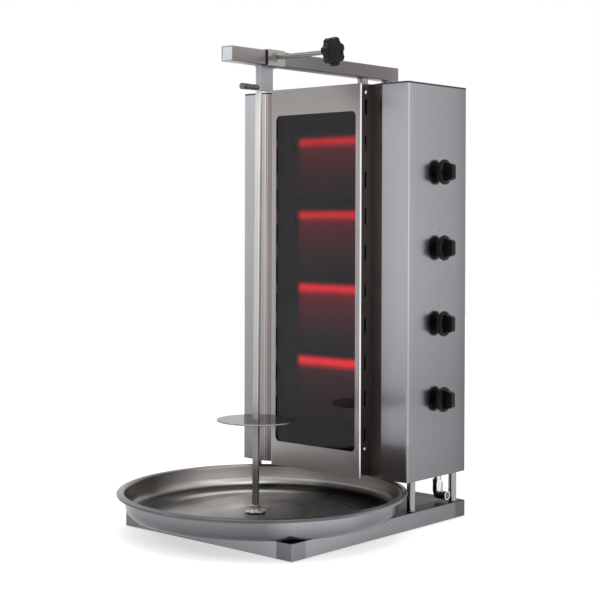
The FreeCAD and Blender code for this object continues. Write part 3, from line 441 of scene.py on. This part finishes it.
OUTSIDE_ACROSS = [(-0.302, 0.40), (-0.150, 0.42), (-0.050, 0.62), (0.0, 0.64), (0.150, 0.57), (0.210, 0.54),
                  (0.245, 1.0), (0.295, 1.0), (0.302, 0.80)]
OUTSIDE_ALONG = [(-0.320, 1.0), (-0.020, 1.0), (0.040, 0.75), (0.100, 0.45), (0.320, 0.30)]
OUTSIDE_UP = [(0.037, 0.52), (0.048, 0.52), (0.060, 0.62), (0.075, 0.90), (0.086, 1.0)]
OUTSIDE_LEAN = 0.3
# Painted highlight: two bright rings inside the pan, at the foot of the wall and at the edge of the floor,
# mostly towards the back left, where the sheet is also made far less metal.
PAN_HIGHLIGHT_TINT = (0.92, 0.90, 0.84)
PAN_HIGHLIGHT_RINGS = [(0.0, 0.0), (0.216, 0.0), (0.225, 0.9), (0.246, 0.9), (0.255, 0.0), (0.2925, 0.0),
               (0.2950, 1.0), (0.2980, 1.0), (0.3003, 0.0), (0.33, 0.0)]
PAN_HIGHLIGHT_ACROSS = [(-0.300, 0.75), (-0.270, 0.70), (-0.240, 0.70), (-0.200, 1.0), (-0.100, 1.0), (-0.080, 0.50),
                (-0.062, 0.0), (0.300, 0.0)]
PAN_HIGHLIGHT_ALONG = [(-0.32, 0.0), (-0.06, 0.0), (0.03, 1.0), (0.32, 1.0)]


def pan_zone(tree, axis, stops):
    """A value that follows its stops along one axis of the places round the pan's axis."""
    return shaded(tree, from_axis(tree, pan_centre), (1.0, 1.0, 1.0), [(axis, stops)])


def pan_painted_highlight(tree):
    """One on the two painted highlight rings inside the pan, at the foot of the wall and at the edge of the
    floor.
    """
    rings = vectors(tree, "MULTIPLY", pan_zone(tree, "Z", PAN_HIGHLIGHT_RINGS), pan_zone(tree, "X", PAN_HIGHLIGHT_ACROSS))
    return vectors(tree, "MULTIPLY", rings, pan_zone(tree, "Y", PAN_HIGHLIGHT_ALONG))


def pan_outside(tree):
    """One where the sheet faces outward or down, by the lean of its normal."""
    outward = vectors(tree, "NORMALIZE", vectors(tree, "MULTIPLY", from_axis(tree, pan_centre), LEVEL))
    normal = node(tree, "ShaderNodeTexCoord").outputs["Normal"]
    lean = vectors(tree, "DOT_PRODUCT", vectors(tree, "SUBTRACT", outward, UP), normal)
    return spread(tree, lean, 0.0, OUTSIDE_LEAN)


def pan_tone_and_painted_light(tree):
    """Warm inside, with painted shade and reflections and two painted highlight rings, and cooler outside
    and on the lip, where shade is painted too.
    """
    places = from_axis(tree, pan_centre)
    floor_tone = shaded(tree, places, FLOOR_TINT,
                        [("Z", FLOOR_RINGS), ("X", FLOOR_ACROSS), ("Y", FLOOR_ALONG)])
    wall_tone = shaded(tree, places, WALL_TINT, [("X", WALL_ACROSS), ("Y", WALL_ALONG), ("Z", WALL_RINGS)])
    inside = blended(tree, pan_zone(tree, "Z", WALL_START), floor_tone, wall_tone)
    highlighted = blended(tree, pan_painted_highlight(tree), inside, PAN_HIGHLIGHT_TINT)
    outside = shaded(tree, places, OUTSIDE_TINT, [("X", OUTSIDE_ACROSS), ("Y", OUTSIDE_ALONG)])
    outside = shaded(tree, object_place(tree), outside, [("Z", OUTSIDE_UP)])
    both = blended(tree, pan_outside(tree), highlighted, outside)
    lip = shaded(tree, places, LIP_TINT, [("Y", LIP_ALONG), ("X", LIP_ACROSS)])
    return blended(tree, pan_zone(tree, "Z", LIP_START), both, lip)


def pan_metal(tree):
    """Nearly all metal, and far less of it on the two painted highlight rings."""
    return blended(tree, pan_painted_highlight(tree), (0.82, 0.82, 0.82), (0.25, 0.25, 0.25))


dress(brushed("pan_sheet", pan_tone_and_painted_light, (900.0, 0.0, 900.0), rough=0.26, centre=pan_centre,
              metallic=pan_metal), "drip_pan")

# Spit, hub and meat plate
# The bar is bright drawn steel with a long grain. The hub is turned and holds the bar with a set screw. The
# plate is polished sheet and rests on a cross pin.
spit_low, spit_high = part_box("spit_rod")
spit_centre = (spit_low + spit_high) / 2
# Painted shade and light on the bar: it is darker towards its foot, and its right face is painted lighter
# than its other faces.
SPIT_DOWN = [(0.043, 0.22), (0.078, 0.22), (0.100, 0.17), (0.133, 0.18), (0.160, 0.42), (0.199, 0.48),
             (0.232, 0.44), (0.298, 0.55), (0.407, 0.63), (0.517, 0.72), (0.627, 0.77), (0.737, 0.84),
             (0.868, 1.0)]
SPIT_ACROSS = [(spit_centre.x - 0.0062, 0.79), (spit_centre.x + 0.0056, 0.79), (spit_centre.x + 0.0058, 1.0),
               (spit_centre.x + 0.0062, 1.0)]
dress(brushed("drawn_bar", (1.0, 0.99, 0.94), GRAIN_Z, rough=0.40, depth=0.06, metallic=0.5,
              shades=[("Z", SPIT_DOWN), ("X", SPIT_ACROSS)]), "spit_rod")
dress(brushed("hub_steel", (0.60, 0.60, 0.60), GRAIN_Z, rough=0.40), "hub_shaft")
dress(brushed("turned_hub", (0.72, 0.70, 0.66), (700.0, 0.0, 900.0), rough=0.22, centre=spit_centre),
      "spit_hub", "hub_set_screw", "disc_pin", "hub_swivel")
dress(brushed("plate_sheet", (0.28, 0.27, 0.28), (500.0, 0.0, 0.0), rough=0.12, depth=0.05,
              centre=spit_centre, edge=0.72, metallic=0.9), "meat_disc")

# Posts, covers, corner strips and lids
# Round stainless posts, welded top and bottom. The covers are brushed along their length and folded at the
# corners, and the lids over the side boxes are dark enamel.
POST_R = 0.0095
ARM_POST_R = 0.0127
BEAD_OUT = 0.0005
BEAD_OVER = 0.0004
# Painted shade and highlight on the left cover: darker towards its foot, with a painted highlight along its
# fold beside the corner strip.
LEFT_DOWN = [(0.110, 0.38), (0.180, 0.50), (0.350, 0.64), (0.500, 0.76), (0.620, 0.88), (0.970, 1.04)]
LEFT_ACROSS = [(-0.2500, 1.0), (-0.1815, 0.96), (-0.1798, 1.35), (-0.1770, 1.35)]
# Painted shade and highlight on the control box cover: darker towards its foot and towards the back, with a
# painted highlight along its front fold.
RIGHT_DOWN = [(0.106, 0.54), (0.200, 0.62), (0.300, 0.63), (0.400, 0.77), (0.500, 0.92), (0.620, 1.0),
              (0.970, 1.0)]
RIGHT_BACKWARDS = [(0.1205, 0.93), (0.1222, 0.93), (0.1230, 1.45), (0.1240, 1.45), (0.1262, 0.90),
                   (0.1400, 0.83), (0.2900, 0.67), (0.3420, 0.50)]
# A painted reflection of the pan: the foot of the control box's front is darkened inside this box.
RIGHT_FOOT_PAINTED_REFLECTION = ((0.10, 0.05, 0.0), (0.2530, 0.1340, 0.190), (0.15, 0.14, 0.135), 0.012)
# Painted shade and highlight on the corner strips: darker in their lower half, the left one lighter than the
# right, with a painted highlight along its outer edge.
STRIP_DOWN = [(0.106, 0.88), (0.280, 0.70), (0.420, 0.80), (0.600, 1.0), (0.970, 1.0)]
STRIP_ACROSS = [(-0.1785, 2.8), (-0.1755, 2.6), (-0.1735, 1.3), (-0.1500, 1.15), (-0.1300, 1.15), (0.0, 1.0),
                (0.18, 1.0)]


def fitted_piece(name, points, faces, material, body, smooth=True):
    """A dressed piece that rides on a body."""
    made = mesh_piece(name, points, faces, material, smooth)
    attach(made, body)


def grid_faces(rows, columns, first=0):
    """Quads between the rows of a grid whose columns close on themselves, with a flat face over each end.
    first is the number of the grid's first point."""
    row, column = np.meshgrid(np.arange(rows - 1), np.arange(columns), indexing="ij")
    across = (column + 1) % columns
    quads = first + np.stack([row * columns + column, row * columns + across, (row + 1) * columns + across,
                              (row + 1) * columns + column], axis=-1).reshape(-1, 4)
    start = first + np.arange(columns)
    return quads.tolist() + [start[::-1].tolist(), (start + (rows - 1) * columns).tolist()]


def swept(path, radii, sides):
    """A round surface carried along a level path: path + radius (cos v side + sin v up), where side is up
    crossed with the way ahead."""
    ahead = np.gradient(path, axis=0)
    ahead /= np.linalg.norm(ahead, axis=1)[:, None]
    side = np.cross(UP, ahead)
    v = np.linspace(0, 2 * np.pi, sides, endpoint=False)
    ring = np.cos(v)[None, :, None] * side[:, None, :] + np.sin(v)[None, :, None] * np.asarray(UP)
    return (path[:, None, :] + np.asarray(radii)[:, None, None] * ring).reshape(-1, 3)


def weld_beads(name, paths, body, radius=0.0012, pitch=0.0024, sides=10):
    """Ripples left by the welding torch: the bead's radius is radius (0.86 + 0.14 |sin(pi s / pitch)|),
    with s the way along the path. Within one radius of an end it thins out with the root of the way left."""
    points, faces, count = [], [], 0
    for path in paths:
        way = np.r_[0.0, np.cumsum(np.linalg.norm(np.diff(path, axis=0), axis=1))]
        ends = np.clip(np.minimum(way, way[-1] - way) / radius, 0.02, 1.0)
        ripple = 0.86 + 0.14 * np.abs(np.sin(np.pi * way / pitch))
        points.append(swept(path, radius * np.sqrt(ends) * ripple, sides))
        faces += grid_faces(len(path), sides, count)
        count += len(path) * sides
    fitted_piece(name, np.concatenate(points), faces, bead_steel, body)


def round_path(centre, radius, height, count=90):
    """A circle about an upright axis: centre + radius (cos a, sin a)."""
    a = np.linspace(0, 2 * np.pi, count)
    x, y = centre[0] + radius * np.cos(a), centre[1] + radius * np.sin(a)
    return np.stack([x, y, np.full(count, height)], 1)


bead_steel = brushed("bead_steel", (0.30, 0.28, 0.26), (600.0,) * 3, rough=0.38, cloud=0.3)
dress(brushed("post_tube", (0.30, 0.29, 0.275), GRAIN_Z, rough=0.16), "tower_posts", "arm_posts")
post_low, post_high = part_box("tower_posts")
post_paths = [round_path((x, y), POST_R + BEAD_OUT, post_low.z + BEAD_OVER)
              for x in (post_low.x + POST_R, post_high.x - POST_R)
              for y in (post_low.y + POST_R, post_high.y - POST_R)]
weld_beads("post_foot_welds", post_paths, "stand")
arm_post_low, arm_post_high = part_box("arm_posts")
arm_paths = [round_path((0.0, y), ARM_POST_R + BEAD_OUT, z)
             for y in (arm_post_low.y + ARM_POST_R, arm_post_high.y - ARM_POST_R)
             for z in (arm_post_low.z + BEAD_OVER, arm_post_high.z - BEAD_OVER)]
weld_beads("arm_post_welds", arm_paths, "stand")
dress(brushed("left_cover_sheet", (0.46, 0.44, 0.47), GRAIN_Z, rough=0.34,
              shades=[("Z", LEFT_DOWN), ("X", LEFT_ACROSS)]), "left_side_cover")
dress(brushed("right_cover_sheet", (0.43, 0.43, 0.455), GRAIN_Z, rough=0.22, dark_box=RIGHT_FOOT_PAINTED_REFLECTION,
              shades=[("Z", RIGHT_DOWN), ("Y", RIGHT_BACKWARDS)]), "control_box_cover")
dress(brushed("corner_strip_sheet", (0.205, 0.18, 0.168), GRAIN_Z, rough=0.30,
              shades=[("Z", STRIP_DOWN), ("X", STRIP_ACROSS)]), "corner_infills")
dress(matt("lid_enamel", (0.015, 0.014, 0.014), 0.45), "roof_panels")

# Casing and rear cover
# The deep box round the burners and its louvred back, in the same brushed sheet. Six cross-head screws hold
# the back on the box.
SHEET = 0.0014
DARK_INSIDE_EDGE = 0.0003
# The inside of the casing takes a darker colour than its outside.
CASING_DARK_INSIDE = (0.14, 0.14, 0.155)
SCREW_IN = 0.008
SCREW_UP = 0.012
REAR_FACE = 0.0012
HEAD_HEIGHT = 0.00215
HEAD_SIDES = 24
RIGHTWARD = (1.0, 0.0, 0.0)
BACKWARD = (0.0, 1.0, 0.0)
casing_low, casing_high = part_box("burner_casing")
casing_inside = (casing_low + Vector((SHEET, -SHEET, SHEET)), casing_high - Vector((SHEET, SHEET, SHEET)),
                 CASING_DARK_INSIDE, DARK_INSIDE_EDGE)
dress(brushed("casing_sheet", (0.40, 0.39, 0.39), GRAIN_Z, rough=0.35, dark_box=casing_inside), "burner_casing")
dress(brushed("louvre_sheet", (0.40, 0.39, 0.39), GRAIN_X, rough=0.35), "rear_cover")
screw_steel = brushed("screw_steel", (0.80, 0.80, 0.80), (500.0,) * 3, rough=0.20)
# Black for the screws' cross recesses: painted shade, laid on each head as a flat cross.
recess_shade_black = matt("recess_shade_black", (0.012, 0.012, 0.012), 0.6)


def screw_heads(name, places, ahead, across):
    """Domed heads turned about ahead: place + height ahead + radius (cos v across + sin v above)."""
    above = np.cross(ahead, across)
    profile = np.array([(-0.0003, 0.0042), (0.0, 0.0042), (0.0012, 0.0036), (0.0019, 0.0022),
                        (0.0021, 0.0008)])
    v = np.linspace(0, 2 * np.pi, HEAD_SIDES, endpoint=False)
    ring = np.cos(v)[:, None] * np.asarray(across) + np.sin(v)[:, None] * above
    head = profile[:, 0, None, None] * np.asarray(ahead) + profile[:, 1, None, None] * ring[None]
    faces = []
    for number in range(len(places)):
        faces += grid_faces(len(profile), HEAD_SIDES, number * len(profile) * HEAD_SIDES)
    fitted_piece(name, np.asarray(places)[:, None, None, :] + head[None], faces, screw_steel, "stand")


def cross_recesses(name, places, ahead, across, half_length=0.0017, half_width=0.0004):
    """A black cross on each head, painted shade for its recess: a twelve-cornered plate, place + u across +
    v above.
    """
    above = np.cross(ahead, across)
    a, b = half_length, half_width
    corners = np.array([(b, b), (b, a), (-b, a), (-b, b), (-a, b), (-a, -b), (-b, -b), (-b, -a), (b, -a),
                        (b, -b), (a, -b), (a, b)])
    plate = corners[:, 0, None] * np.asarray(across) + corners[:, 1, None] * above
    points = np.asarray(places)[:, None, :] + plate[None]
    faces = np.arange(len(places) * len(corners)).reshape(len(places), -1).tolist()
    fitted_piece(name, points, faces, recess_shade_black, "stand", smooth=False)


rear_low, rear_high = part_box("rear_cover")
rear_places = [(x, rear_low.y + REAR_FACE, z) for x in (rear_low.x + SCREW_IN, rear_high.x - SCREW_IN)
               for z in (rear_low.z + SCREW_UP, (rear_low.z + rear_high.z) / 2, rear_high.z - SCREW_UP)]
screw_heads("rear_screws", rear_places, BACKWARD, RIGHTWARD)
cross_recesses("rear_screw_recesses", np.array(rear_places) + (0.0, HEAD_HEIGHT, 0.0), BACKWARD, RIGHTWARD)

# Glass frame, glass and gasket
# The frame is folded from brushed sheet, with its grain across, and screwed on through its side flanges.
# The glass is dark and heat-proof, and clips hold it against a woven gasket.
# The inside faces of the glass frame take a near black colour.
FRAME_DARK_INSIDE = (0.020, 0.018, 0.017)
PAST_SHEET = 0.01
HEAD_R = 0.0046
RECESS_OUT = 0.00005
# Painted shade and highlight on the frame: its tone changes with height, its side flanges are painted dark,
# and a painted highlight runs along the bend at each front edge, brightest at the right edge.
FRAME_DOWN = [(0.106, 0.86), (0.150, 0.90), (0.200, 0.66), (0.400, 0.83), (0.600, 0.92), (0.820, 1.0),
              (0.960, 0.80), (0.980, 0.78)]
FRAME_BACKWARDS = [(0.0960, 0.46), (0.0965, 0.95), (0.0984, 1.0), (0.0992, 0.15), (0.1350, 0.15)]
frame_low, frame_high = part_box("glass_frame")
FRAME_ACROSS = [(frame_low.x, 1.0), (frame_high.x - 0.0022, 1.0), (frame_high.x - 0.0012, 1.7),
                (frame_high.x, 1.7)]
# Painted shade on the glass: it mirrors less low down.
GLASS_DOWN = [(0.150, 0.60), (0.260, 0.62), (0.360, 0.85), (0.500, 1.0), (0.980, 1.0)]
frame_inside = (frame_low + Vector((SHEET, SHEET, -PAST_SHEET)),
                frame_high - Vector((SHEET, -PAST_SHEET, -PAST_SHEET)), FRAME_DARK_INSIDE, DARK_INSIDE_EDGE)
dress(brushed("frame_sheet", (0.82, 0.77, 0.755), GRAIN_X, rough=0.30, dark_box=frame_inside,
              shades=[("Z", FRAME_DOWN), ("Y", FRAME_BACKWARDS), ("X", FRAME_ACROSS)]), "glass_frame")
dress(screw_steel, "frame_screws")
screws_low, screws_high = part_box("frame_screws")
screw_line = (screws_low.y + screws_high.y) / 2
for side_name, outside_x, ahead in (("right", screws_high.x + RECESS_OUT, RIGHTWARD),
                                    ("left", screws_low.x - RECESS_OUT, (-1.0, 0.0, 0.0))):
    places = [(outside_x, screw_line, z) for z in (screws_low.z + HEAD_R, screws_high.z - HEAD_R)]
    cross_recesses(side_name + "_screw_recesses", places, ahead, BACKWARD)
dress(matt("gasket_weave", (0.05, 0.05, 0.05), 0.9, cells=400.0), "glass_gasket")


def smoked_glass():
    """Dark glass, a little uneven, whose mirroring is dimmed towards its foot as painted shade."""
    material, tree, shader = new_material("dark_glass")
    shader.inputs["Transmission Weight"].default_value = 1.0
    shader.inputs["Roughness"].default_value = 0.03
    shader.inputs["IOR"].default_value = 1.33
    where = object_place(tree)
    link(tree, shaded(tree, where, (0.94, 0.94, 1.0), [("Z", GLASS_DOWN)]), shader.inputs["Specular Tint"])
    smoke = ramp(tree, [(0.3, (0.32, 0.29, 0.31)), (0.7, (0.36, 0.33, 0.35))], noise(tree, where, 6.0, 2.0))
    link(tree, smoke, shader.inputs["Base Color"])
    return material


dress(smoked_glass(), "glass_panel")

# Burners
# Each has three ported ceramic tiles behind a steel guard. The flame burns brightest along the top of a
# tile, and the heat fades below it.
BURNER_PITCH = 0.1707
TILE_HEIGHT = 0.140
TILE_EDGE = 0.004
GUARD_REACH = 0.020
FACE_DEPTH = 0.001
HOT_EDGE = 0.0005
FLAME_STRENGTH = 2.4
HEAT_DOWN = [(0.0, (0.03, 0.001, 0.002)), (0.04, (0.34, 0.006, 0.010)), (0.08, (0.85, 0.018, 0.034)),
             (0.12, (0.85, 0.018, 0.034)), (0.17, (0.38, 0.008, 0.014)), (0.23, (0.12, 0.004, 0.008)),
             (0.45, (0.060, 0.003, 0.006)), (0.80, (0.016, 0.002, 0.003)), (1.0, (0.003, 0.001, 0.001))]
# The ports are darker than the clay round them, as painted shade in the holes, and glow less.
PORT_TONES = [(0.12, (0.74, 0.72, 0.70)), (0.30, (1.0, 1.0, 1.0))]
plaque_low, plaque_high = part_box("ceramic_plaques")
burner_top = plaque_high.z
last_top = burner_top - 3 * BURNER_PITCH
FLAME_ACROSS = [(plaque_low.x, 0.0), (plaque_low.x + 0.006, 0.04), (plaque_low.x + 0.013, 0.55),
                (plaque_low.x + 0.020, 1.0), (plaque_high.x, 1.0)]
FLAME_DOWN = [(plaque_low.z, 0.30), (last_top - 0.038, 0.33), (last_top - 0.026, 1.10), (last_top, 1.10),
              (burner_top - BURNER_PITCH, 0.74), (burner_top, 0.66)]
hot_low = Vector((plaque_low.x + TILE_EDGE, plaque_low.y - GUARD_REACH, 0.0))
hot_high = Vector((plaque_high.x - TILE_EDGE, plaque_low.y + FACE_DEPTH, 1.0))


def glowing_tile():
    """Clay with ports darkened as painted shade in the holes. Its front glows by the way down from the top
    of its own burner, and less in the ports.
    """
    material, tree, shader = new_material("glowing_tile")
    where = object_place(tree)
    below_top = reckon(tree, "SUBTRACT", burner_top, apart(tree, where)["Z"])
    down = spread(tree, reckon(tree, "FLOORED_MODULO", below_top, BURNER_PITCH), 0.0, TILE_HEIGHT)
    ports = node(tree, "ShaderNodeTexVoronoi")
    ports.inputs["Scale"].default_value = 420.0
    link(tree, where, ports.inputs["Vector"])
    holes = ramp(tree, PORT_TONES, ports.outputs["Distance"])
    lit = vectors(tree, "MULTIPLY", ramp(tree, HEAT_DOWN, down), holes)
    flame = shaded(tree, where, lit, [("X", FLAME_ACROSS), ("Z", FLAME_DOWN)])
    front = within(tree, where, hot_low, hot_high, HOT_EDGE)
    link(tree, vectors(tree, "SCALE", flame, front), shader.inputs["Emission Color"])
    shader.inputs["Emission Strength"].default_value = FLAME_STRENGTH
    link(tree, vectors(tree, "MULTIPLY", (0.05, 0.04, 0.036), holes), shader.inputs["Base Color"])
    shader.inputs["Roughness"].default_value = 0.85
    raise_surface(tree, shader, ports.outputs["Distance"], 0.25, 0.0005)
    return material


dress(glowing_tile(), "ceramic_plaques", "plaque_screens")
dress(brushed("burner_sheet", (0.09, 0.09, 0.10), GRAIN_X, rough=0.55), "burner_bodies", "glass_clips")

# Gas train
# Brass taps on a steel manifold, soft aluminium feed pipes and copper leads, all inside the control box and
# the casing. Each tap has its own spindle and push pin.
BURNERS = range(1, 5)
dress(brushed("manifold_tube", (0.45, 0.45, 0.46), GRAIN_Z, rough=0.4), "gas_manifold")
tap_brass = brushed("tap_brass", (0.72, 0.52, 0.22), (400.0,) * 3, rough=0.3)
dress(tap_brass, "gas_valves", "clamp_pad")
dress(brushed("pipe_aluminium", (0.70, 0.70, 0.70), GRAIN_Y, rough=0.35), "feed_pipes")
dress(brushed("lead_copper", (0.72, 0.38, 0.24), GRAIN_Y, rough=0.35), "thermocouples")
for number in BURNERS:
    dress(tap_brass, "valve_spindle_%d" % number)
    dress(screw_steel, "valve_push_pin_%d" % number)

# Knobs
# Black thermoset mouldings with a fine satin surface. The gas knobs are pushed on to their spindles, each
# under a plain printed stroke, and the star knob sits on the end of the clamp screw.
MARK_ABOVE = 0.0410
MARK_HALF_HEIGHT = 0.0036
MARK_HALF_WIDTH = 0.0012
PRINT_OUT = 0.0001
knob_plastic = matt("knob_plastic", (0.004, 0.004, 0.005), 0.28, cells=900.0, bump=0.1, shine=0.14)
dress(knob_plastic, "star_knob", *("gas_knob_%d" % number for number in BURNERS))


def stadium(count=16):
    """The outline of an upright stroke with round ends: half circles of the half width, moved up and
    down."""
    a = np.linspace(0, np.pi, count)
    middle = MARK_HALF_HEIGHT - MARK_HALF_WIDTH
    top = np.stack([MARK_HALF_WIDTH * np.cos(a), middle + MARK_HALF_WIDTH * np.sin(a)], 1)
    return np.concatenate([top, -top])


outline = stadium()
panel_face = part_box("control_box_cover")[1].x + PRINT_OUT
mark_points = []
for number in BURNERS:
    knob_low, knob_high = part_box("gas_knob_%d" % number)
    middle = (knob_low + knob_high) / 2
    mark_points += [(panel_face, middle.y + y, middle.z + MARK_ABOVE + z) for y, z in outline.tolist()]
mark_faces = np.arange(len(mark_points)).reshape(len(BURNERS), -1).tolist()
fitted_piece("knob_marks", mark_points, mark_faces, matt("mark_paint", (0.22, 0.22, 0.23), 0.5), "stand",
             smooth=False)

# Gas inlet
# Chrome-plated brass nipple and elbow, held in the tower's floor by a lock nut.
dress(brushed("inlet_chrome", (0.64, 0.64, 0.66), (300.0,) * 3, rough=0.12, depth=0.03),
      "inlet_nipple", "inlet_nut", "inlet_elbow")

# Arm
# Square stainless tube, brushed along its length and welded to its two posts, with a pale plug in each end.
# Painted shade along the arm: darker from the front towards the back, a little lighter again at the back
# end.
ARM_BACKWARDS = [(-0.190, 1.0), (-0.100, 1.0), (-0.010, 0.68), (0.090, 0.56), (0.240, 0.55), (0.345, 0.60),
                 (0.387, 0.76)]
dress(brushed("arm_sheet", (0.30, 0.275, 0.275), GRAIN_Y, rough=0.32, shades=[("Y", ARM_BACKWARDS)]),
      "arm_tube")
dress(matt("plug_plastic", (0.66, 0.72, 0.78), 0.35, cells=200.0, bump=0.05), "arm_end_plugs")

# Carriage
# A sheet sleeve slides on the arm, with a bar welded under it to hang the spit from, all left with a dull
# grain. The clamp screw runs in a nut welded to the sleeve, and a spring pin locks the spit.
THREAD_PITCH = 0.00125
THREAD_DEEP = 0.0005
THREAD_RUN_OUT = 0.003
THREAD_LENGTH = 0.060
THREAD_UNDER = 0.0002
ROD_R = 0.0050
BEAD_UNDER = 0.0002
BEAD_SHORT = 0.001
dress(brushed("sleeve_sheet", (0.36, 0.36, 0.35), GRAIN_Y, rough=0.30), "clamp_sleeve")
dress(brushed("hanger_sheet", (0.38, 0.38, 0.40), GRAIN_Z, rough=0.42), "spit_hanger")
dress(brushed("nut_steel", (0.42, 0.42, 0.39), (500.0,) * 3, rough=0.24), "clamp_nut")
dress(brushed("pin_steel", (0.17, 0.15, 0.14), (300.0,) * 3, rough=0.28), "lock_pin_body", "lock_pin")
screw_rod = brushed("screw_rod", (0.18, 0.175, 0.17), GRAIN_X, rough=0.25)
dress(screw_rod, "clamp_screw")


def straight_path(start, end, count=60):
    """Evenly spaced points from start to end."""
    share = np.linspace(0, 1, count)[:, None]
    return np.asarray(start) * (1 - share) + np.asarray(end) * share


sleeve_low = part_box("clamp_sleeve")[0]
hanger_low, hanger_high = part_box("spit_hanger")
bead_height = sleeve_low.z - BEAD_UNDER
hanger_paths = [straight_path((x, sleeve_low.y + BEAD_SHORT, bead_height), (x, hanger_high.y, bead_height))
                for x in (hanger_low.x - BEAD_OVER, hanger_high.x + BEAD_OVER)]
weld_beads("hanger_welds", hanger_paths, "carriage")


def threaded_rod(start, length, radius, sides=24, rings_per_pitch=8):
    """A screw thread: the radius is radius - 0.2 mm + depth t, where t is a triangle wave of x / pitch less
    the angle's share of a turn. The depth runs out to nothing at both ends."""
    count = int(length / THREAD_PITCH * rings_per_pitch)
    x = np.linspace(0, length, count)[:, None]
    v = np.linspace(0, 2 * np.pi, sides, endpoint=False)[None, :]
    phase = (x / THREAD_PITCH - v / (2 * np.pi)) % 1.0
    deep = THREAD_DEEP * np.clip(np.minimum(x, length - x) / THREAD_RUN_OUT, 0, 1)
    r = radius - THREAD_UNDER + deep * (1 - np.abs(2 * phase - 1))
    points = np.stack([start[0] + x + 0 * v, start[1] + r * np.cos(v), start[2] + r * np.sin(v)], axis=-1)
    return points, grid_faces(count, sides)


rod_low, rod_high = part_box("clamp_screw")
rod_middle = (rod_low + rod_high) / 2
thread_start = (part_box("clamp_nut")[1].x + THREAD_RUN_OUT, rod_middle.y, rod_middle.z)
points, faces = threaded_rod(thread_start, THREAD_LENGTH, ROD_R)
fitted_piece("clamp_thread", points, faces, screw_rod, "clamp_screw")
